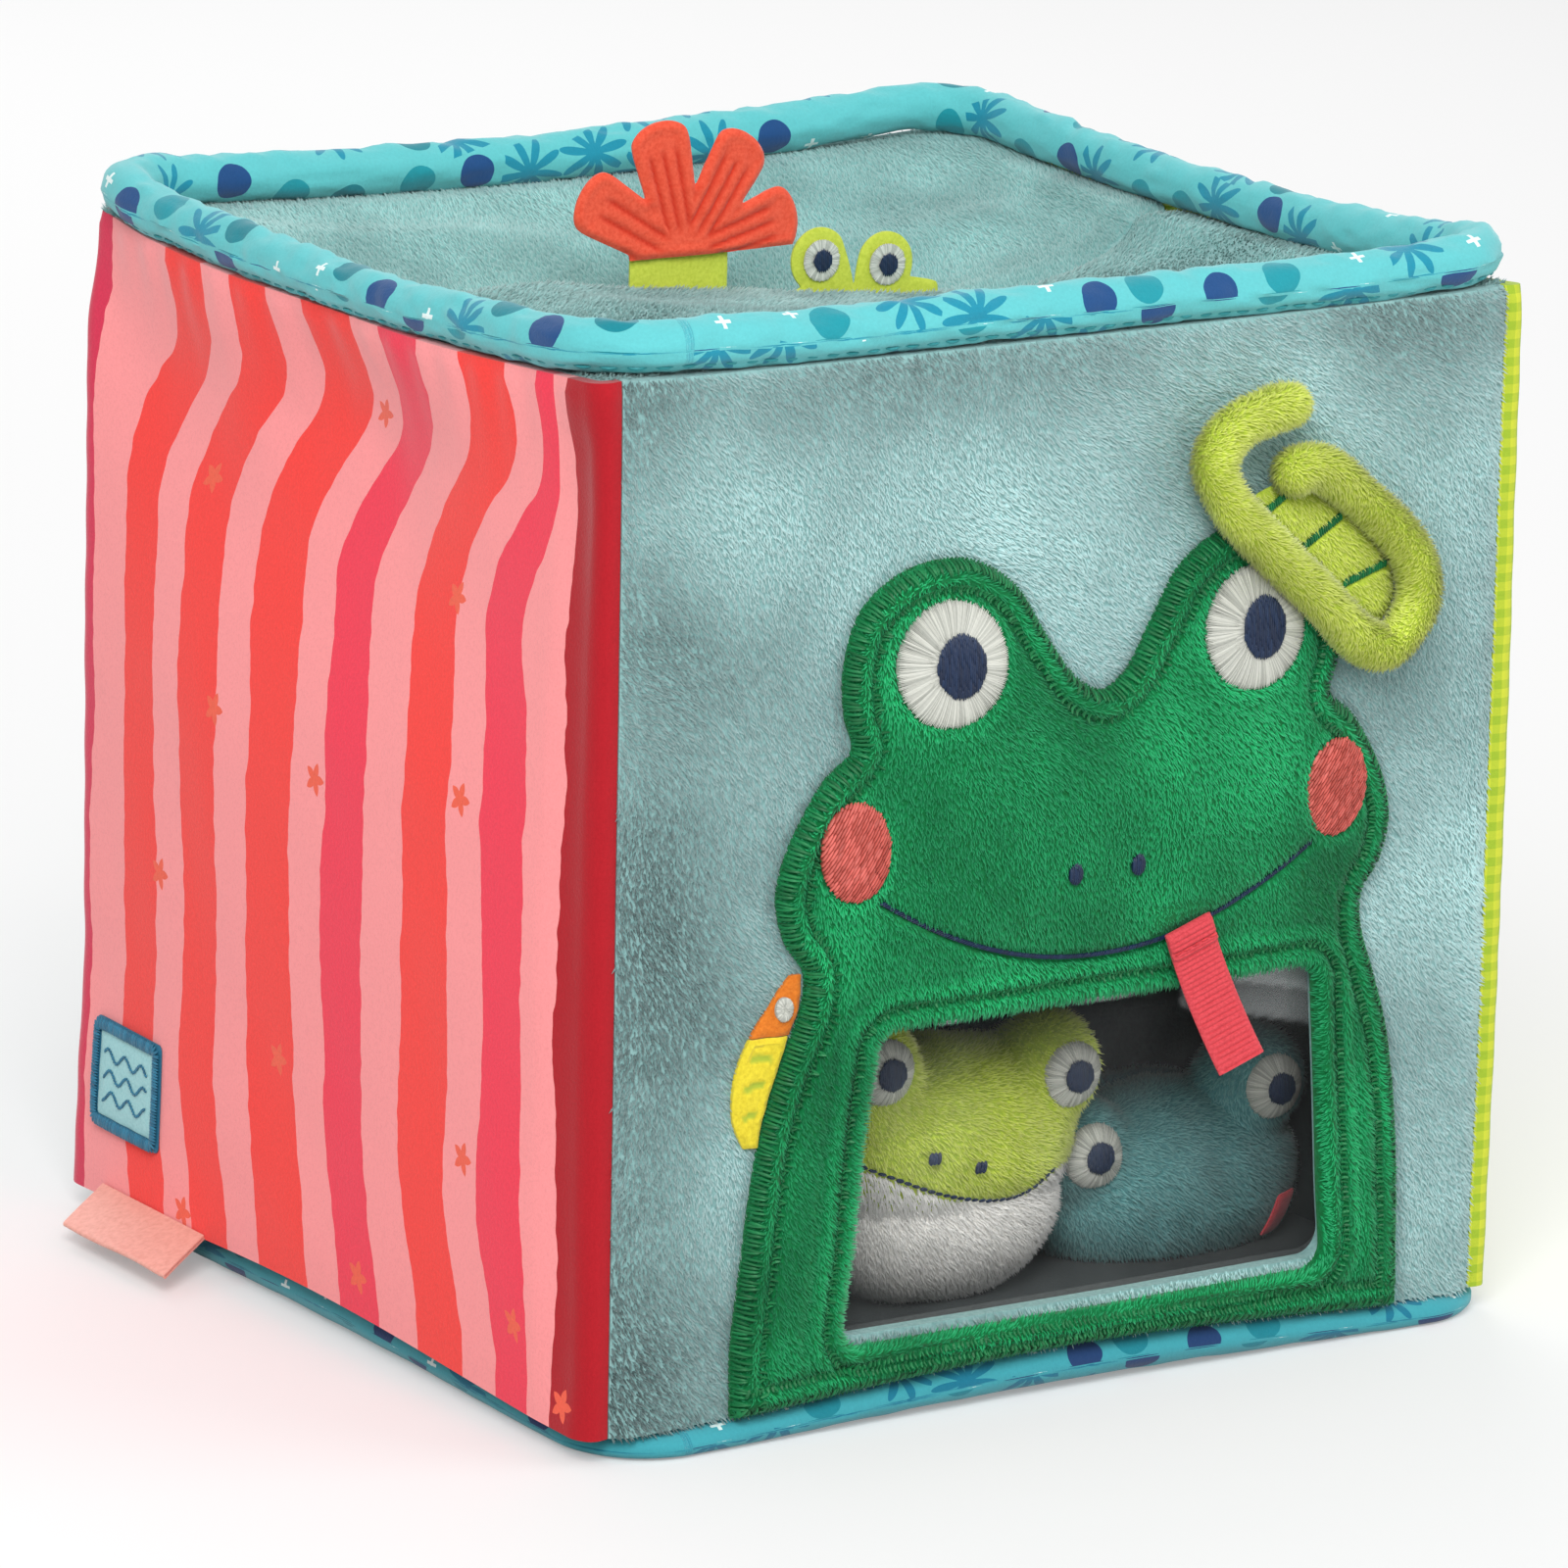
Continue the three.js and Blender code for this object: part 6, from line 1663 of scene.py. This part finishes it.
# Last value for which `holds` is true, on the way from a start to an end
def halving(holds, start, end, steps):
    end = np.full(len(start), end)
    for _ in range(steps):
        middle = (start + end) / 2
        held = holds(middle)
        start, end = np.where(held, middle, start), np.where(held, end, middle)
    return start


# Closed surface found along rays from a centre, then pressed flat on the floor and
# against the other toy
def toySurface(kind, gapOf, centre, rows, columns, lump, seed):
    polar = np.linspace(0.02, math.pi - 0.02, rows)
    turn = fullTurn(columns)
    p, t = np.meshgrid(polar, turn, indexing="ij")
    way = np.stack([np.sin(p) * np.cos(t), np.sin(p) * np.sin(t), np.cos(p)], -1).reshape(-1, 3)
    out = halving(lambda run: gapOf(kind, centre + way * run[:, None]) < 0, np.zeros(len(way)), 60.0, 26)
    lumps = lump * softNoise(way[:, 0] * 30 + 9 * way[:, 2], way[:, 1] * 30 + way[:, 2] * 30, 9, seed)
    points = centre + way * (out + lumps - 0.5)[:, None]
    faces = [gridFaces(rows, columns, False, True), np.arange(columns)[::-1][None],
             (np.arange(columns) + (rows - 1) * columns)[None]]
    return pressToy(kind, points), [g[:, ::-1] for g in faces]


def pressToy(kind, points):
    points = points.copy()
    normal = np.array([math.cos(parting["turn"]), math.sin(parting["turn"])]) * kind["sign"]
    over = (points[:, :2] - [parting["x"], parting["y"]]) @ normal + parting["gap"]
    over = np.maximum(over, 0)
    points[:, :2] -= over[:, None] * normal
    points[:, 2] = np.maximum(points[:, 2], toy["floor"])
    return points


# Front of a toy at x and z, `lift` before it
def toyFront(kind, gapOf):
    def at(x, z, lift):
        x, z, lift = (a.ravel() for a in np.broadcast_arrays(np.asarray(x, float), z, lift))
        y = halving(lambda y: gapOf(kind, np.stack([x, y, z], -1)) < -0.5, np.full(len(x), kind["y"] + 0.0),
                    kind["y"] - 45.0, 24)
        return np.stack([x, y - lift, z], -1)
    return at


toyPieces = []
for name, kind in toyKinds.items():
    body = f"{name}_toy"
    head = toySurface(kind, headGap, toySpot(kind, 0, 0), 60, 96, 0.5, 161)
    belly = toySurface(kind, bellyGap, bellySpot(kind), 44, 72, 0.4, 162)
    for part, (points, groups) in (("head", head), ("belly", belly)):
        makePiece(f"{body}_{part}_plush", points, groups, f"{kind[part]} back", body,
                            points[:, [0, 2]])
        toyPieces.append((name, kind, part, (points, groups)))
    front = toyFront(kind, headGap)
    for side, sign in (("left", -1), ("right", 1)):
        x, _, z = toySpot(kind, sign * toy["bumpAside"], toy["bumpUp"])
        eyeKind = dict(eyeStrands, rise=0.3, base=0.5, cell=1.1, radial=90, sides=44)
        threadMound(f"{body}_eye_{side}", front, (x, z, toy["eye"], toy["eye"]), eyeKind,
                    "white_thread", 0.3, 25, body)
        threadMound(f"{body}_pupil_{side}", front, (x, z, toy["pupil"], toy["pupil"]),
                    dict(pupilStrands, rise=0.2, base=0.4), "navy_thread", 1.3, 26, body)
    if not kind["seam"]:
        continue
    middle = np.array([kind["x"], toy["floor"] + kind["headUp"]])
    seam = kind["seamLine"] = smoothLine(middle + kind["seam"], 8)
    starts, ends = lineStitches(seam, 1.7, 1.5, 0.15)
    smile = layThreads(front, starts, ends, {"width": 0.8, "height": 0.8, "lift": 0.7}, 27)
    dots = np.concatenate([middle + kind["nostrils"] + [shift, 0.0] for shift in (-0.75, 0.0, 0.75)])
    thread = {"width": 1.1, "height": 0.9, "lift": 1.7}
    nose = layThreads(front, dots - [0.2, 1.2], dots + [0.2, 1.2], thread, 28)
    points, groups, uv = joinParts(smile, nose)
    makePiece(f"{body}_smile_thread", points, groups, "navy_thread", body, uv, "")
x, _, z = toySpot(toyKinds["blue"], 17.5, -9.2)
front = toyFront(toyKinds["blue"], headGap)
ring = evenly(roundedBox((x - 3.0, z - 4.4), (x + 3.0, z + 4.0), 0.8), 0.6, True)
ring[:, 0] += 0.35 * (ring[:, 1] - z)
flat, faces = fillOutline(ring, 0.6)
top = front(*flat.T, 3.0 - 0.3 * fade(distanceTo(flat, ring)[0] / 0.8))
bottom = front(*flat.T, 2.2)
makeSheet("blue_toy_tongue_ribbon", top, bottom, faces, flat, "coral_ribbon", "blue_toy")
print("stuffed frogs done")


# Lock stitches in the groove of the top piping
stitch = {"angle": -0.85, "out": 4.35, "pitch": 4.3, "length": 3.0, "thread": 0.75}
looped = np.concatenate([topPath, topPath[:1]])
run = loopRun(looped)
count = int(run[-1] / stitch["pitch"])
marks = np.arange(count) * run[-1] / count


def alongPiping(at):
    return np.stack([np.interp(at % run[-1], run, looped[:, k]) for k in range(3)], -1)


angle = fullTurn(5)[None, :, None]
out, up = stitch["out"] * math.cos(stitch["angle"]), stitch["out"] * math.sin(stitch["angle"])
rings = []
for share in np.linspace(-0.5, 0.5, 5):
    at = (marks + share * stitch["length"]) % run[-1]
    spot = alongPiping(at)
    ahead = unit(alongPiping(at + 0.8) - spot)
    outward = unit(np.cross(ahead, [0, 0, 1]))
    level = np.array([out, up]) * (1 + 0.25 * (1 - (2 * share) ** 2) / math.hypot(out, up))
    size = stitch["thread"] / 2 * max(0.35, 1 - (2 * abs(share)) ** 4)
    centre = spot + outward * level[0] + [0, 0, level[1]]
    around = np.cos(angle) * outward[:, None] + np.sin(angle) * np.array([0, 0, 1])
    rings.append(centre[:, None] + size * around)
points = np.stack(rings, 1).reshape(-1, 3)
strand = gridFaces(5, 5, False, True)[:, ::-1]
caps = np.stack([np.arange(5), np.arange(5)[::-1] + 20])
base = np.arange(count)[:, None, None] * 25
makePiece("top_piping_stitches", points, [(base + strand).reshape(-1, 4), (base + caps).reshape(-1, 5)],
          "navy_thread teal", uv=np.tile([0.6, 0.0], (len(points), 1)), node="")
print("piping stitches done")


# Pile on the plush pieces
tealPile = {"perArea": 3.3, "length": 1.35, "width": 0.5, "lean": 0.95, "nap": (0.25, 0, -1), "swirl": 0.75,
            "swirlSize": 24}


def onFrontCloth(upper):
    def look(roots, normals, tone, nap, length):
        flat = roots[:, [0, 2]]
        keep = ~(inside(flat, frogRing) & ~inside(flat, windowRing)) & ((flat[:, 1] > 118) == upper)
        toTop = rimEdge(sides["front"], roots[:, 0]) - roots[:, 2]
        toLeft = roots[:, 0] + clothReach(sides["front"])
        # Painted shade towards the top rim and the left seam and low on the left, and painted light towards
        # the right; the broad noise is random tone
        tone = tone - 1.5 * fade(np.minimum(toTop / 22, toLeft / 28)) + 0.5 * ease(roots[:, 0] / 90)
        tone -= 0.3 * ease((-48 - roots[:, 0]) / 36) * ease((140 - roots[:, 2]) / 70)
        tone += 1.4 * softNoise(flat[:, 0] + 0.5 * flat[:, 1], flat[:, 1] - 0.3 * flat[:, 0], 34, 73)
        # Painted shade along the frog's raised edge
        near = fade((distanceTo(flat, frogRing)[0] - 0.5) / 3)
        return keep, tone - 1.0 * near, nap, length
    return look


def onFrog(roots, normals, tone, nap, length):
    flat = roots[:, [0, 2]]
    edge, toEdge = distanceTo(flat, frogRing)
    sill, toSill = distanceTo(flat, windowRing)
    lip, _ = distanceTo(flat, mouthLine, closed=False)
    keep = lip > 0.75
    halo = np.zeros(len(flat))
    for spots, out, width in ((eyes, 1.08, 0.09), (cheeks, 1.12, 0.12)):
        for spot in spots.values():
            share = ellipseShare(flat, spot)
            keep &= share > 0.98
            halo = np.maximum(halo, bell((share - out) / width))
    for spot in nostrils.values():
        keep &= ellipseShare(flat, spot) > 1.15
    outwards = bell(edge / 3.4)[:, None]
    around = bell(sill / 2.8)[:, None]
    nap = nap * (1 - np.maximum(outwards, around))
    nap[:, [0, 2]] -= toEdge * outwards * 1.6
    nap[:, [0, 2]] -= toSill * around * 1.2
    atTongue = (np.abs(flat[:, 0] - tongue["x"]) < 6.5) & (np.abs(flat[:, 1] - tongueZ - 1) < 3.5)
    length = np.where(atTongue, 0.5 * length, length)
    # Painted shade at the rolled rim and in the pressed valleys, painted highlight on the ridges between
    # them, and a paler ring round the eyes and cheeks; the noise is random tone
    rim = fade((edge - 1.6) / 1.0)
    valley = bell((edge - frog["bandWidth"]) / 0.8) + bell((sill - 4.3) / 0.9)
    ridge = bell((edge - 3.5) / 1.0) + bell((sill - 1.6) / 1.2) + bell((sill - 6.6) / 1.2)
    tone = tone - 1.2 * rim - 1.0 * valley + 0.9 * ridge + 1.1 * halo
    tone += 1.1 * softNoise(flat[:, 0], flat[:, 1] - 0.4 * flat[:, 0], 19, 72)
    length = length * (1 - 0.45 * rim) * (1 - 0.45 * np.minimum(valley, 1))
    return keep, tone, nap, length


def onPad(roots, normals, tone, nap, length):
    keep = np.ones(len(roots), bool)
    for vein in veins:
        keep &= distanceTo(roots[:, [0, 2]], vein, closed=False)[0] > 1.0
    # The pad's tufts are a little darker than the roll's: painted shade in the hollow inside the roll
    return keep, 0.85 * tone, nap, length


def onToy(kind, part, muzzle=False):
    def look(roots, normals, tone, nap, length):
        keep = roots[:, 2] > toy["floor"] + 0.2
        if "seamLine" in kind and part == "head":
            line = kind["seamLine"]
            above = roots[:, 2] - np.interp(roots[:, 0], line[:, 0], line[:, 1])
            below = (above < 0) & (roots[:, 1] < kind["y"])
            keep &= (below == muzzle) & ((np.abs(above) > 0.45) | (roots[:, 1] > kind["y"]))
        if part == "belly":
            keep &= headGap(kind, roots) > -0.6
        else:
            for sign in (-1, 1):
                x, _, z = toySpot(kind, sign * toy["bumpAside"], toy["bumpUp"])
                near = np.hypot(roots[:, 0] - x, roots[:, 2] - z) < toy["eye"] - 0.2
                keep &= ~(near & (normals[:, 1] < 0))
        return keep, tone, nap, length
    return look


def pileOn(name, surface, finish, look, seed, body="block", **changes):
    return growPile(f"{name}_pile", *surface, finish, body, dict(tealPile, **changes), look, seed)


frontPiles = [growPile(f"front_panel_pile_{part}", *sheets["front"][1:], "teal_plush pile", "block", tealPile,
                       onFrontCloth(part == "upper"), 31) for part in ("upper", "lower")]
backPile = pileOn("back_panel", sheets["back"][1:], "teal_plush pile", None, 32, perArea=1.22, width=0.8,
                  length=1.7)
frogPile = pileOn("frog", (frogTop, frogFaces), "green_plush pile", onFrog, 33, perArea=3.25, length=1.4,
                  width=0.52)
flapPiles = {
    "front": pileOn("top_front_flap", flapPieces["front"][1:], "teal_plush top", None, 34, perArea=2.05,
                    width=0.62, nap=(0.3, -1, 0)),
    "rear": pileOn("top_rear_flap", flapPieces["rear"][1:], "teal_plush top", None, 35, perArea=3.0,
                   width=0.55, nap=(-0.3, 1, 0)),
}
pileOn("leaf_roll", rollSurface, "lime_plush pile", None, 36, perArea=5.6, length=1.45, width=0.48, lean=0.75,
       swirl=1.6)
padPile = pileOn("leaf_pad", padSurface, "lime_plush pile", onPad, 37, perArea=4.0, length=1.3, width=0.5)
toyPile = {"perArea": 2.9, "length": 1.5, "width": 0.5, "lean": 0.8, "swirl": 1.2}
for name, kind, part, surface in toyPieces:
    body = f"{name}_toy"
    pileOn(f"{body}_{part}", surface, f"{kind[part]} pile", onToy(kind, part), 38, body, **toyPile)
    if "seamLine" in kind and part == "head":
        pileOn(f"{body}_muzzle", surface, f"{kind['belly']} pile", onToy(kind, part, True), 39, body,
               **dict(toyPile, length=2.2, perArea=3.6))
print("pile grown")


# Floor, light and camera. The paper and the sky are brighter where they are seen, in
# mirrors and through film too, than where they light.
def shownRays(tree):
    rays = addNode(tree, "LightPath").outputs
    shown = rays["Is Camera Ray"]
    for kind in ("Glossy", "Transmission"):
        shown = addNode(tree, "Math", {"operation": "MAXIMUM"}, {0: shown, 1: rays[f"Is {kind} Ray"]})
    return shown


floorMesh = bpy.data.meshes.new("studio_floor")
floorMesh.from_pydata([(-9, -9, 0), (9, -9, 0), (9, 9, 0), (-9, 9, 0)], [], [(0, 1, 2, 3)])
floor = bpy.data.objects.new("studio_floor", floorMesh)
bpy.context.scene.collection.objects.link(floor)
material = bpy.data.materials.new("white paper sweep, matt")
material.use_nodes = True
tree = material.node_tree
tree.nodes.clear()
paper = addNode(tree, "BsdfDiffuse", {"Color": (0.62, 0.62, 0.62, 1)})
strength = addNode(tree, "Math", {"operation": "MULTIPLY", 1: 0.29}, {0: shownRays(tree)})
glow = addNode(tree, "Emission", None, {"Strength": strength})
addNode(tree, "OutputMaterial", None, {"Surface": addNode(tree, "AddShader", None, {0: paper, 1: glow})})
floorMesh.materials.append(material)

world = bpy.data.worlds.new("studio")
world.use_nodes = True
tree = world.node_tree
tree.nodes.clear()
strength = addNode(tree, "MapRange", {1: 0.0, 2: 1.0, 3: 0.5, 4: 1.0}, {0: shownRays(tree)})
sky = addNode(tree, "Background", {"Color": (1, 1, 1, 1)}, {"Strength": strength})
addNode(tree, "OutputWorld", None, {"Surface": sky})
bpy.context.scene.world = world

for name, place, size, power in (("key", (-0.95, -1.28, 1.3), 0.9, 28), ("fill", (1.3, -1.2, 1.0), 1.4, 12),
                                 ("back", (0.5, 1.5, 1.3), 1.2, 12)):
    light = bpy.data.lights.new(f"{name}_softbox", "AREA")
    light.size = size
    light.energy = power
    lamp = bpy.data.objects.new(f"{name}_softbox", light)
    lamp.location = place
    lamp.rotation_euler = (Vector((0, 0, 0.1)) - Vector(place)).to_track_quat("-Z", "Y").to_euler()
    bpy.context.scene.collection.objects.link(lamp)

camera = bpy.data.objects.new("camera", bpy.data.cameras.new("camera"))
camera.data.lens = 219.77
camera.data.sensor_width = 36
camera.data.clip_end = 30
right = (0.84326, -0.5372, 0.01829)
up = (0.11476, 0.21318, 0.97025)
back = (-0.52512, -0.81607, 0.24141)
place = (-0.97949, -1.52186, 0.54543)
camera.matrix_world = Matrix([*zip(right, up, back, place), (0, 0, 0, 1)])
bpy.context.scene.collection.objects.link(camera)
bpy.context.scene.camera = camera
bpy.context.scene.view_settings.view_transform = "Standard"

print("scene ready")
